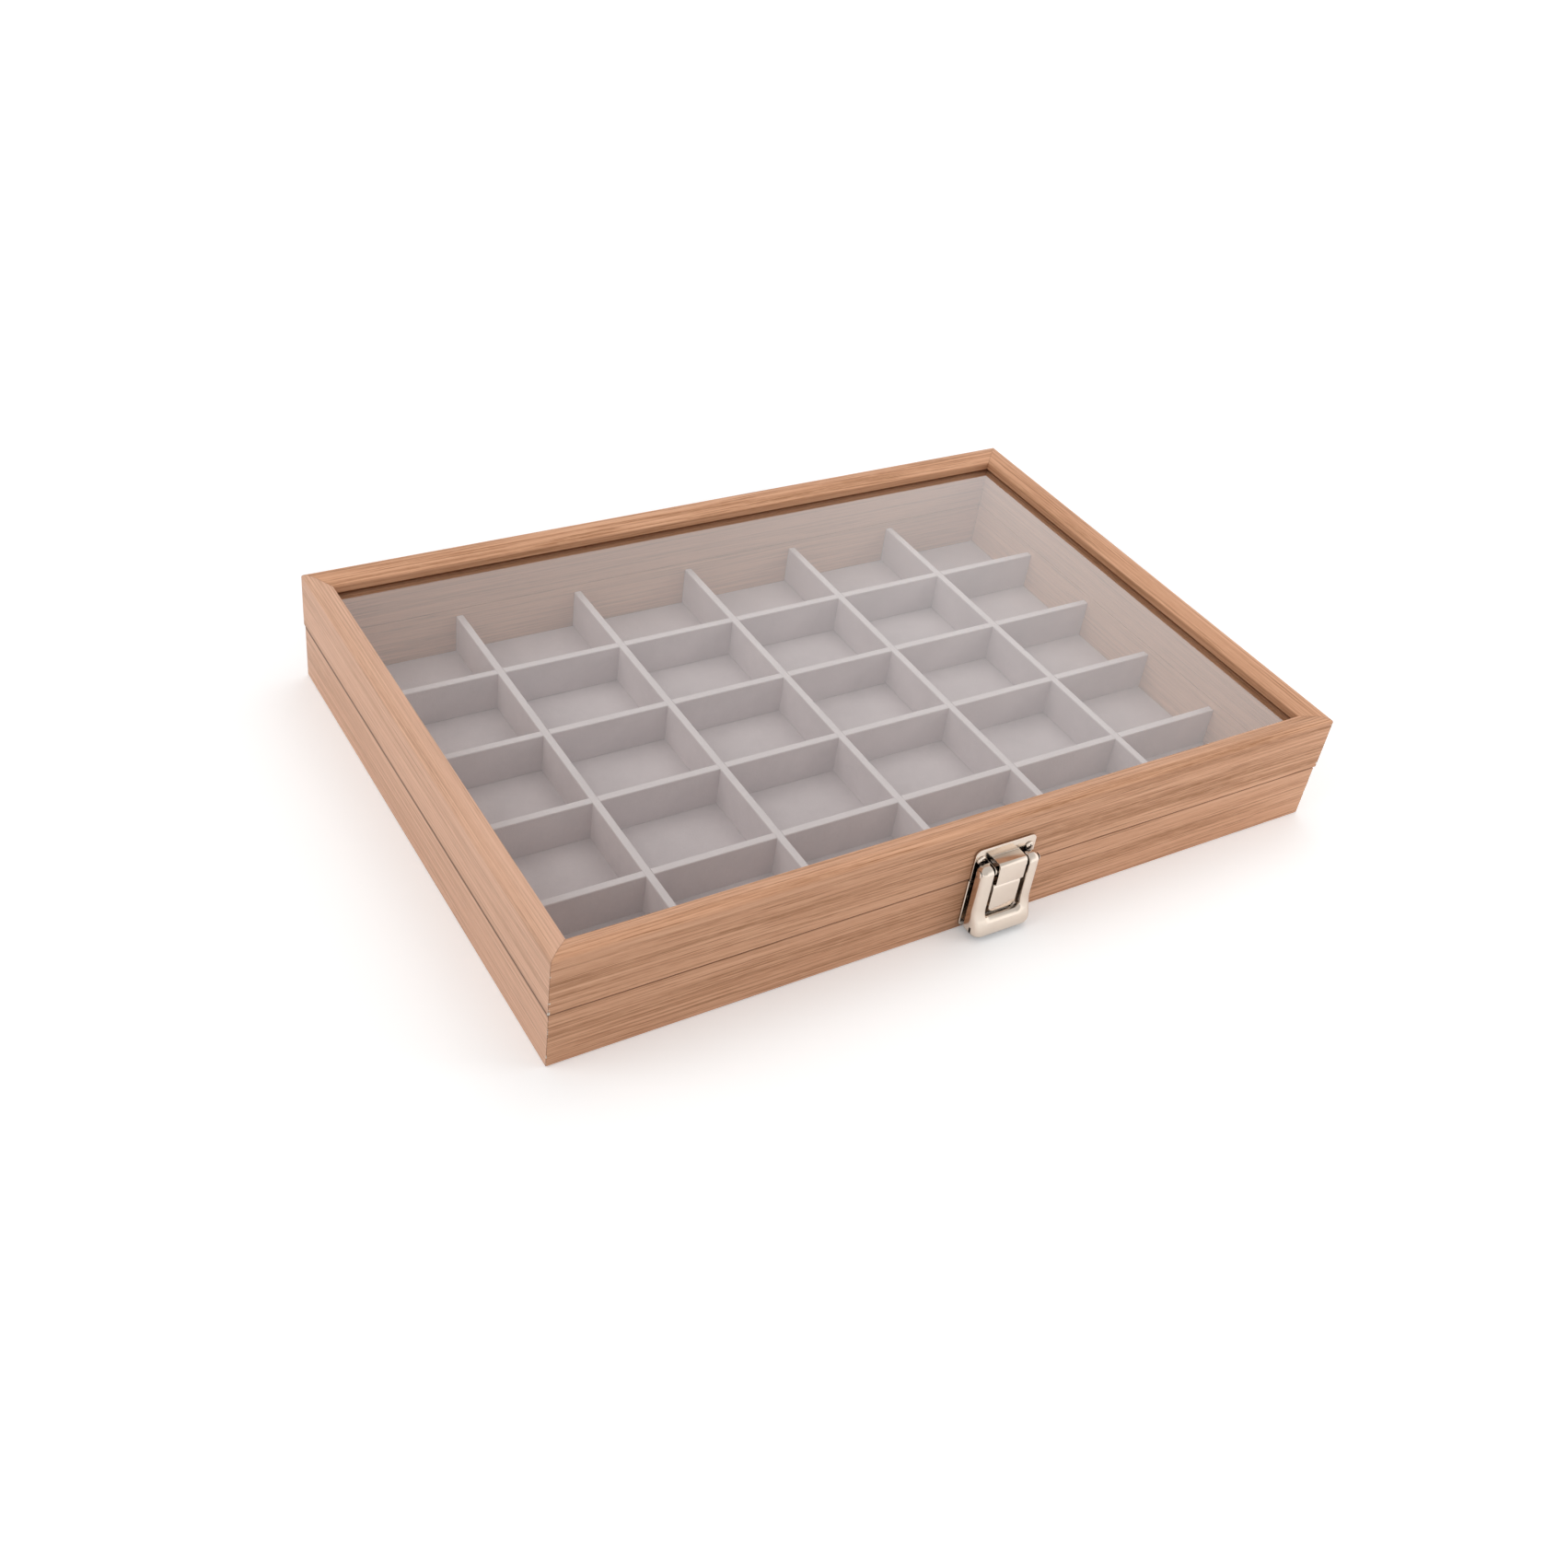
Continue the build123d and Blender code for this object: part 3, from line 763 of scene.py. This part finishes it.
ARM_DEPTH = 4.4 * MM
FRAME_BACK_Y = LID_FRONT_Y - 2.6 * MM
FRAME_FACE_Y = FRAME_BACK_Y - ARM_DEPTH
LIP_DEPTH = 2.8 * MM
BAR_LIP_CUT = 0.8 * MM
BAR_ROUND = 1.7 * MM
ARM_END_ROUND = 1.4 * MM
EYE_RADIUS = 2.8 * MM
BOTTOM_CORNER = 4.5 * MM
TOP_CORNER = 2.6 * MM
WINDOW_CORNER = 2.0 * MM
SWELL_TOP = 14.5 * MM
SWELL_BOTTOM = 4.2 * MM
SWELL_ROWS = 9
FOOT_ROWS = (0.35, 0.55, 0.78)
EYE_ROWS = (0, 0.3, 0.5)
DRAWN_UNDER = 0.15
FRAME_SHEET = 0.9 * MM
RELIEF_LOW = (3.2 * MM, -6.9 * MM)
RELIEF_HIGH = (6.0 * MM, -5.9 * MM)

PIN_Y = (pin_box[0].y + pin_box[1].y) / 2
PIN_Z = (pin_box[0].z + pin_box[1].z) / 2


def flat_plate(name, node, back, at_top):
    """A flat plate of the latch, with its two corners rounded at the top or at the bottom."""
    low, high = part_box(node)
    half = (high.x - low.x) / 2
    piece = front_sheet(name, LATCH_X - half, LATCH_X + half, low.z, high.z, back - PLATE_THICKNESS)
    corner_level = high.z if at_top else low.z
    edit(piece)
    round_corners(piece, lambda v: near(v.co.z, corner_level), PLATE_CORNER)
    leave()
    apply_modifier(piece, "SOLIDIFY", thickness=PLATE_THICKNESS, offset=-1)
    return piece


def folded_sheet(name, half_width, low, high, pulls, fold):
    """A sheet that faces the front and is folded back, then down, from its top edge."""
    piece = front_sheet(name, LATCH_X - half_width, LATCH_X + half_width, low.z, high.z, low.y)
    edit(piece)
    select(piece, "EDGE", lambda e: near(middle(e).z, high.z) and near(middle(e).x, LATCH_X))
    for pull in pulls:
        bpy.ops.mesh.extrude_edges_move(TRANSFORM_OT_translate={"value": pull})
    select(piece, "EDGE", lambda e: len(e.link_faces) == 2)
    bpy.ops.mesh.bevel(offset=fold, segments=8, affect="EDGES")
    return piece


class DISPLAYBOX_OT_latch_plates(bpy.types.Operator):
    """Press the latch's two plates: the lid plate with its hood and pin ears, and the base plate"""

    bl_idname = "displaybox.latch_plates"
    bl_label = "Latch plates"

    def execute(self, context):
        look = context.scene.displaybox_nickel
        material = bpy.data.materials["nickel_modelled"]
        low, high = lid_plate_box
        width = high.x - low.x
        plate = flat_plate("latch_lid_plate_pressed", "latch_lid_plate", LID_FRONT_Y, at_top=True)
        half = HOOD_WIDTH / 2
        carve(plate, block(
            "opening", (LATCH_X - half, low.y, low.z - MM), (LATCH_X + half, LID_FRONT_Y + MM, PIN_Z)))
        inside_plate = LID_FRONT_Y - PLATE_THICKNESS / 2
        hood = folded_sheet(
            "hood", half, low, Vector((0, 0, HOOD_TOP)), [(0, inside_plate - low.y, 0)], HOOD_ROUND)
        leave()
        apply_modifier(hood, "SOLIDIFY", thickness=look.sheet, offset=-1)
        unite(plate, hood)
        for side in (-1, 1):
            inner = LATCH_X + side * (half + EAR_GAP)
            outer = inner + side * look.sheet
            ear = block(
                "ear", (min(inner, outer), PIN_Y - EAR_RADIUS, PIN_Z - EAR_RADIUS),
                (max(inner, outer), inside_plate, PIN_Z + EAR_RADIUS))
            centre_x = (inner + outer) / 2
            edit(ear)
            select(
                ear, "EDGE",
                lambda e: near(middle(e).y, PIN_Y - EAR_RADIUS) and near(middle(e).x, centre_x))
            bpy.ops.mesh.bevel(offset=EAR_RADIUS * 0.98, segments=10, affect="EDGES")
            leave()
            bore = [(PIN_RADIUS, -width / 2), (PIN_RADIUS, width / 2)]
            carve(ear, turned("bore", Vector((inner, PIN_Y, PIN_Z)), Vector((1, 0, 0)), bore))
            unite(plate, ear)
        soften(plate, look.edge)
        seat(plate, "lid", "nickel", material, "latch_lid_plate")

        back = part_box("latch_base_plate")[1].y
        plate = flat_plate("latch_base_plate_pressed", "latch_base_plate", back, at_top=False)
        soften(plate, look.edge)
        seat(plate, "base", "nickel", material, "latch_base_plate")
        return {"FINISHED"}


class DISPLAYBOX_OT_latch_catch(bpy.types.Operator):
    """Bend the spring catch: a back leg, a rounded fold and a front tongue with rounded corners"""

    bl_idname = "displaybox.latch_catch"
    bl_label = "Spring catch"

    def execute(self, context):
        look = context.scene.displaybox_nickel
        low = Vector((0, LID_FRONT_Y - TONGUE_REACH, TONGUE_BOTTOM))
        high = catch_box[1]
        pulls = [(0, high.y - low.y, 0), (0, 0, CATCH_LEG_BOTTOM - high.z)]
        piece = folded_sheet("latch_catch_bent", HOOD_WIDTH / 2, low, high, pulls, CATCH_ROUND)
        round_corners(piece, lambda v: near(v.co.z, low.z) and near(v.co.y, low.y), CATCH_CORNER)
        leave()
        apply_modifier(piece, "SOLIDIFY", thickness=look.sheet, offset=-1)
        soften(piece, look.edge)
        seat(piece, "base", "nickel", bpy.data.materials["nickel_modelled"], "latch_catch")
        return {"FINISHED"}


class DISPLAYBOX_OT_latch_pin(bpy.types.Operator):
    """Turn the latch pin with a domed head at each end"""

    bl_idname = "displaybox.latch_pin"
    bl_label = "Latch pin"

    def execute(self, context):
        low, high = pin_box
        head = (high.z - low.z) / 2
        end = (high.x - low.x) / 2
        dome = [(head * 0.45, end), (head * 0.8, end - 0.12 * MM), (head, end - 0.32 * MM)]
        neck = [(head, end - PIN_HEAD_HEIGHT), (PIN_RADIUS, end - PIN_HEAD_HEIGHT)]
        half = [*dome, *neck]
        rings = [(radius, -out) for radius, out in half] + [(radius, out) for radius, out in reversed(half)]
        piece = turned("latch_pin_domed", Vector((LATCH_X, PIN_Y, PIN_Z)), Vector((1, 0, 0)), rings, 32)
        smooth(piece, 40)
        seat(piece, "lid", "nickel", bpy.data.materials["nickel_modelled"], "latch_pin")
        return {"FINISHED"}


def frame_depth(z):
    """Depth of the latch frame at a height: a round eye, a swollen grip, and a foot drawn under."""
    if z > PIN_Z:
        return ARM_DEPTH - EYE_RADIUS + max(EYE_RADIUS ** 2 - (z - PIN_Z) ** 2, 0) ** 0.5
    share = min(max((SWELL_TOP - z) / (SWELL_TOP - SWELL_BOTTOM), 0), 1)
    grip = FRAME_BACK_Y - latch_frame_box[0].y
    depth = ARM_DEPTH + (grip - ARM_DEPTH) * (1 - cos(pi * share)) / 2
    foot = min(max((SWELL_BOTTOM - z) / SWELL_BOTTOM, 0), 1)
    return depth * (1 - DRAWN_UNDER * foot ** 2)


def in_window(look, place):
    """Whether a place is in the latch frame's opening or on its rim."""
    slack = 0.1 * MM
    return abs(place.x - LATCH_X) < look.window_width / 2 + slack and place.z > look.window_bottom - slack


def rim_round(look, edge):
    """Radius of a rim edge: large outside, small inside the arms, and growing towards the grip bar."""
    place = middle(edge)
    if not in_window(look, place):
        return look.press_round
    if near(place.z, latch_frame_box[1].z):
        return ARM_END_ROUND
    share = min(max((place.z - look.window_bottom) / WINDOW_CORNER, 0), 1)
    return BAR_ROUND + (look.window_round - BAR_ROUND) * share


def frame_front(look):
    """The front of the latch frame as a flat sheet: its outline and its opening, with rounded corners."""
    low, high = latch_frame_box
    half_window = look.window_width / 2
    bottom = look.window_bottom
    window_xs = (LATCH_X - half_window, LATCH_X + half_window)
    piece = front_sheet("latch_frame_pressed", low.x, high.x, low.z, high.z, FRAME_FACE_Y)
    edit(piece)
    for x in window_xs:
        cut((x, FRAME_FACE_Y, 0), (1, 0, 0))
    cut((0, FRAME_FACE_Y, bottom), (0, 0, 1))
    select(piece, "FACE", lambda f: in_window(look, f.calc_center_median()))
    bpy.ops.mesh.delete(type="FACE")
    select(piece, "EDGE", lambda e: not e.is_boundary)
    bpy.ops.mesh.dissolve_edges(use_verts=False)
    for level, xs, size in (
        (low.z, (low.x, high.x), BOTTOM_CORNER),
        (high.z, (low.x, high.x), TOP_CORNER),
        (bottom, window_xs, WINDOW_CORNER),
    ):
        round_corners(piece, lambda v: near(v.co.z, level) and any(near(v.co.x, x) for x in xs), size)
    leave()
    return piece


def turn_rims_back(piece, look):
    """Turn the outline and the opening of the sheet back, and round the edges that this makes."""
    lip_y = FRAME_FACE_Y + LIP_DEPTH
    bar_top = look.window_bottom + WINDOW_CORNER / 2
    edit(piece)
    select(piece, "EDGE", lambda e: e.is_boundary)
    bpy.ops.mesh.extrude_edges_move(TRANSFORM_OT_translate={"value": (0, LIP_DEPTH, 0)})
    select(piece, "VERT", lambda v: near(v.co.y, lip_y) and in_window(look, v.co) and v.co.z < bar_top)
    bpy.ops.transform.translate(value=(0, -BAR_LIP_CUT, 0))
    select(piece, "EDGE", lambda e: e.is_boundary and not in_window(look, middle(e)))
    bpy.ops.mesh.extrude_edges_move(TRANSFORM_OT_translate={"value": (0, ARM_DEPTH - LIP_DEPTH, 0)})
    rounds = {}
    for e in bmesh.from_edit_mesh(piece.data).edges:
        if len(e.link_faces) == 2 and e.calc_face_angle(0) > radians(60):
            rounds.setdefault(round(rim_round(look, e), 5), set()).add(e.index)
    for size, members in rounds.items():
        select(piece, "EDGE", lambda e: e.index in members)
        bpy.ops.transform.edge_bevelweight(value=size / look.press_round)
    leave()
    apply_modifier(
        piece, "BEVEL", width=look.press_round, segments=6, limit_method="WEIGHT", use_clamp_overlap=False)


def swell(piece):
    """Cut the frame into rows and give each row its depth, then turn its faces outwards."""
    grip_height = SWELL_TOP - SWELL_BOTTOM
    rows = [SWELL_BOTTOM + grip_height * i / SWELL_ROWS for i in range(SWELL_ROWS + 1)]
    rows += [SWELL_BOTTOM * share for share in FOOT_ROWS]
    rows += [PIN_Z + EYE_RADIUS * share for share in EYE_ROWS]
    edit(piece)
    for level in rows:
        cut((0, FRAME_FACE_Y, level), (0, 0, 1))
    levels = {}
    for v in bmesh.from_edit_mesh(piece.data).verts:
        levels.setdefault(round(v.co.z, 6), set()).add(v.index)
    for level, members in levels.items():
        select(piece, "VERT", lambda v: v.index in members)
        scale = frame_depth(level) / ARM_DEPTH
        bpy.ops.transform.resize(value=(1, scale, 1), center_override=(0, FRAME_BACK_Y, 0))
    bpy.ops.mesh.select_all(action="SELECT")
    bpy.ops.mesh.normals_make_consistent(inside=False)
    foremost = min(bmesh.from_edit_mesh(piece.data).faces, key=lambda f: f.calc_center_median().y)
    if foremost.normal.y > 0:
        bpy.ops.mesh.flip_normals()
    leave()


class DISPLAYBOX_OT_latch_frame(bpy.types.Operator):
    """Press the swinging latch frame: two arms, a swollen grip bar and rolled edges"""

    bl_idname = "displaybox.latch_frame"
    bl_label = "Latch frame"

    def execute(self, context):
        look = context.scene.displaybox_nickel
        piece = frame_front(look)
        turn_rims_back(piece, look)
        swell(piece)
        apply_modifier(piece, "SOLIDIFY", thickness=FRAME_SHEET, offset=-1)
        reliefs = []
        for corner in latch_frame_box:
            start = (corner.x - MM, LID_FRONT_Y + RELIEF_LOW[1], RELIEF_LOW[0])
            end = (corner.x + MM, LID_FRONT_Y + RELIEF_HIGH[1], RELIEF_HIGH[0])
            reliefs.append(block("relief", start, end))
        carve(piece, joined(reliefs, "reliefs"))
        smooth(piece, 40)
        seat(piece, "latch", "nickel", bpy.data.materials["nickel_modelled"], "latch_frame")
        return {"FINISHED"}


# Screws

RECESS_WIDTH = 0.5 * MM
RECESS_LENGTH = 2.1 * MM
RECESS_DEPTH = 0.6 * MM
PAN_HEAD_HEIGHT = 0.9 * MM
PAN_HEAD = (
    (0.3, -7.1), (1.0, -5.6), (1.0, 0), (1.9, 0), (1.9, 0.3),
    (1.78, 0.56), (1.5, 0.75), (1.0, 0.86), (0.5, 0.9))
FLUSH_HEAD = ((0.3, -7.0), (0.9, -5.6), (0.9, -1.0), (1.6, -0.12), (1.7, -0.06), (1.7, 0), (1.2, 0.0))


def cross_screw(centre, facing, rings, top):
    """One screw with a cross recess. Rings are pairs of radius and place out of the seat, in millimetres."""
    piece = turned("screw", centre, facing, [(radius * MM, out * MM) for radius, out in rings])
    face = centre + facing * top
    bars = []
    for size_x, size_z in ((RECESS_LENGTH, RECESS_WIDTH), (RECESS_WIDTH, RECESS_LENGTH)):
        half = Vector((size_x / 2, 0, size_z / 2))
        start = face - facing * RECESS_DEPTH
        end = face + facing * MM
        low = Vector(min(pair) for pair in zip(start, end)) - half
        high = Vector(max(pair) for pair in zip(start, end)) + half
        bars.append(block("recess", low, high))
    unite(bars[0], bars[1])
    carve(piece, bars[0])
    return piece


class DISPLAYBOX_OT_screws(bpy.types.Operator):
    """Turn the cross-recessed screws of the latch plates and the hinge leaves"""

    bl_idname = "displaybox.screws"
    bl_label = "Screws"

    def execute(self, context):
        look = context.scene.displaybox_nickel
        material = bpy.data.materials["nickel_modelled"]
        for body in ("lid", "base"):
            low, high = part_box(f"latch_screws_{body}")
            head = look.screw_head / 2
            seat_y = low.y + PAN_HEAD_HEIGHT
            level = (low.z + high.z) / 2
            screws = [
                cross_screw(Vector((x, seat_y, level)), FRONT, PAN_HEAD, PAN_HEAD_HEIGHT)
                for x in (low.x + head, high.x - head)
            ]
            piece = joined(screws, f"latch_screws_{body}_turned")
            smooth(piece, 40)
            seat(piece, body, "nickel", material, f"latch_screws_{body}")

            low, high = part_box(f"hinge_screws_{body}")
            head = look.hinge_screw_head / 2
            level = (low.z + high.z) / 2
            xs = [
                side * (high.x - head - step * look.hinge_screw_spacing)
                for side in (-1, 1) for step in (0, 1)
            ]
            screws = [cross_screw(Vector((x, high.y, level)), -FRONT, FLUSH_HEAD, 0) for x in xs]
            piece = joined(screws, f"hinge_screws_{body}_turned")
            smooth(piece, 40)
            seat(piece, body, "nickel", material, f"hinge_screws_{body}")
        return {"FINISHED"}


# Finishes on the CAD nodes

class DISPLAYBOX_OT_materials(bpy.types.Operator):
    """Mix the finishes that several pieces share"""

    bl_idname = "displaybox.materials"
    bl_label = "Finishes"

    def execute(self, context):
        scene = context.scene
        velvet_material("brushed_velvet", scene.displaybox_velvet)
        nickel_material("nickel_modelled", scene.displaybox_nickel, False)
        nickel_material("nickel_soft_edges", scene.displaybox_nickel, True)
        glass_material("window_glass")
        board_material("fibre_board")
        return {"FINISHED"}


class DISPLAYBOX_OT_rails(bpy.types.Operator):
    """Finish the eight wooden rails, each cut from another stretch of the same wood"""

    bl_idname = "displaybox.rails"
    bl_label = "Wooden rails"

    def execute(self, context):
        look = context.scene.displaybox_wood
        rails = [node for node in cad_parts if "rail" in node]
        for number, node in enumerate(sorted(rails)):
            along_y = node.endswith(("left", "right"))
            # The left rails get a painted paler tone, painted light of the lamp side.
            paler = LEFT_RAILS_LIT_PALER if node.endswith("left") else 0.0
            material = wood_material(f"wood_{node}", look, along_y, BOARD_STEP * number, paler)
            dress(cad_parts[node], material)
        return {"FINISHED"}


class DISPLAYBOX_OT_glass_and_panel(bpy.types.Operator):
    """Finish the glass pane and the bottom panel"""

    bl_idname = "displaybox.glass_and_panel"
    bl_label = "Glass and panel"

    def execute(self, context):
        dress(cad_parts["glass_pane"], bpy.data.materials["window_glass"])
        dress(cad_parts["bottom_panel"], bpy.data.materials["fibre_board"])
        return {"FINISHED"}


class DISPLAYBOX_OT_metal(bpy.types.Operator):
    """Plate the latch and hinge parts with nickel"""

    bl_idname = "displaybox.metal"
    bl_label = "Nickel parts"

    def execute(self, context):
        for node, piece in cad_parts.items():
            if node.startswith(("latch", "hinge")):
                dress(piece, bpy.data.materials["nickel_soft_edges"])
        return {"FINISHED"}


# Stage

def lamp(name, place, size, power, target=(0, 0, 0.02)):
    """A square soft lamp aimed at a target. Glass and metal don't mirror its hard outline."""
    data = bpy.data.lights.new(name, "AREA")
    data.shape = "SQUARE"
    data.size = size
    data.energy = power
    lamp_object = bpy.data.objects.new(name, data)
    lamp_object.location = place
    lamp_object.visible_glossy = False
    lamp_object.rotation_euler = (Vector(target) - Vector(place)).to_track_quat("-Z", "Y").to_euler()
    bpy.context.scene.collection.objects.link(lamp_object)


def seen_ray(s):
    """1 for rays that show the background: camera, mirrored and transmitted ones."""
    seen = s.node("LightPath", output="Is Camera Ray")
    for kind in ("Is Glossy Ray", "Is Transmission Ray"):
        seen = seen.math("MAXIMUM", s.node("LightPath", output=kind))
    return seen


class DISPLAYBOX_OT_stage(bpy.types.Operator):
    """Set up the pale floor, the lamps, the white background and the camera"""

    bl_idname = "displaybox.stage"
    bl_label = "Stage"

    def execute(self, context):
        scene = context.scene
        look = scene.displaybox_stage
        floor = add("circle", "studio_floor", vertices=96, radius=5.0, fill_type="NGON")
        material, s = new_material("studio_floor")
        plain = s.node("BsdfDiffuse", {}, {"Color": (0.82, 0.82, 0.82, 1)})
        bright = s.node("BsdfDiffuse", {}, {"Color": (0.92, 0.92, 0.92, 1)})
        away = s.node("VectorMath", {"operation": "LENGTH"}, {0: s.place()}, 1)
        glow = s.node("Emission", {}, {"Color": s.ramp(away, (0.3, 0.2), (0.9, 0.7)), "Strength": 1.0})
        shown = s.node("AddShader", {}, {0: bright, 1: glow})
        s.finish(s.node("MixShader", {}, {0: seen_ray(s), 1: plain, 2: shown}))
        dress(floor, material)

        world = bpy.data.worlds.new("studio")
        scene.world = world
        sky = Shader(world)
        plain = seen_ray(sky) * (1 - look.ambient) + look.ambient
        mirrored = sky.node("LightPath", output="Is Glossy Ray")
        right, back, up = object_axes(sky)
        tent = (right * 0.8 - up * 2.0 + 1.8).math("MINIMUM", 1.4).math("MAXIMUM", 0.7)
        strength = plain + mirrored * (tent - 1)
        sky.finish(sky.node("Background", {}, {"Color": (1, 1, 1, 1), "Strength": strength}))

        lamp("key", (-1.05, 0.1, 0.75), 0.9, look.key_power)
        lamp("top", (0.3, 0.25, 1.15), 0.9, look.top_power)
        lamp("fill", (0.6, -0.45, 0.22), 0.36, look.fill_power)

        data = bpy.data.cameras.new("photo_camera")
        data.sensor_width = 36
        data.lens = look.lens
        data.clip_start = 0.01
        camera = bpy.data.objects.new("photo_camera", data)
        camera.location = look.camera_place
        camera.rotation_euler = look.camera_turn
        scene.collection.objects.link(camera)
        scene.camera = camera
        scene.view_settings.view_transform = "Standard"
        return {"FINISHED"}


class DISPLAYBOX_PT_panel(bpy.types.Panel):
    """The steps that build the display box's looks"""

    bl_idname = "DISPLAYBOX_PT_panel"
    bl_label = "Display Box"
    bl_space_type = "VIEW_3D"
    bl_region_type = "UI"
    bl_category = "Display Box"

    def draw(self, context):
        for step in STEPS:
            self.layout.operator(step.bl_idname)
        for name, group in SETTINGS.items():
            box = self.layout.box()
            for field in group.__annotations__:
                box.prop(getattr(context.scene, name), field)


SETTINGS = {
    "displaybox_wood": WoodSettings,
    "displaybox_velvet": VelvetSettings,
    "displaybox_nickel": NickelSettings,
    "displaybox_stage": StageSettings,
}
STEPS = (
    DISPLAYBOX_OT_stage,
    DISPLAYBOX_OT_materials,
    DISPLAYBOX_OT_rails,
    DISPLAYBOX_OT_glass_and_panel,
    DISPLAYBOX_OT_velvet_floor,
    DISPLAYBOX_OT_velvet_dividers,
    DISPLAYBOX_OT_metal,
    DISPLAYBOX_OT_latch_plates,
    DISPLAYBOX_OT_latch_catch,
    DISPLAYBOX_OT_latch_pin,
    DISPLAYBOX_OT_latch_frame,
    DISPLAYBOX_OT_screws,
)
CLASSES = (*SETTINGS.values(), *STEPS, DISPLAYBOX_PT_panel)


def register():
    for group in CLASSES:
        bpy.utils.register_class(group)
    for name, group in SETTINGS.items():
        setattr(bpy.types.Scene, name, bpy.props.PointerProperty(type=group))


def unregister():
    for name in SETTINGS:
        delattr(bpy.types.Scene, name)
    for group in reversed(CLASSES):
        bpy.utils.unregister_class(group)


def main():
    """Run every step in order."""
    register()
    for step in STEPS:
        category, name = step.bl_idname.split(".")
        getattr(getattr(bpy.ops, category), name)()


if __name__ == "__main__":
    main()
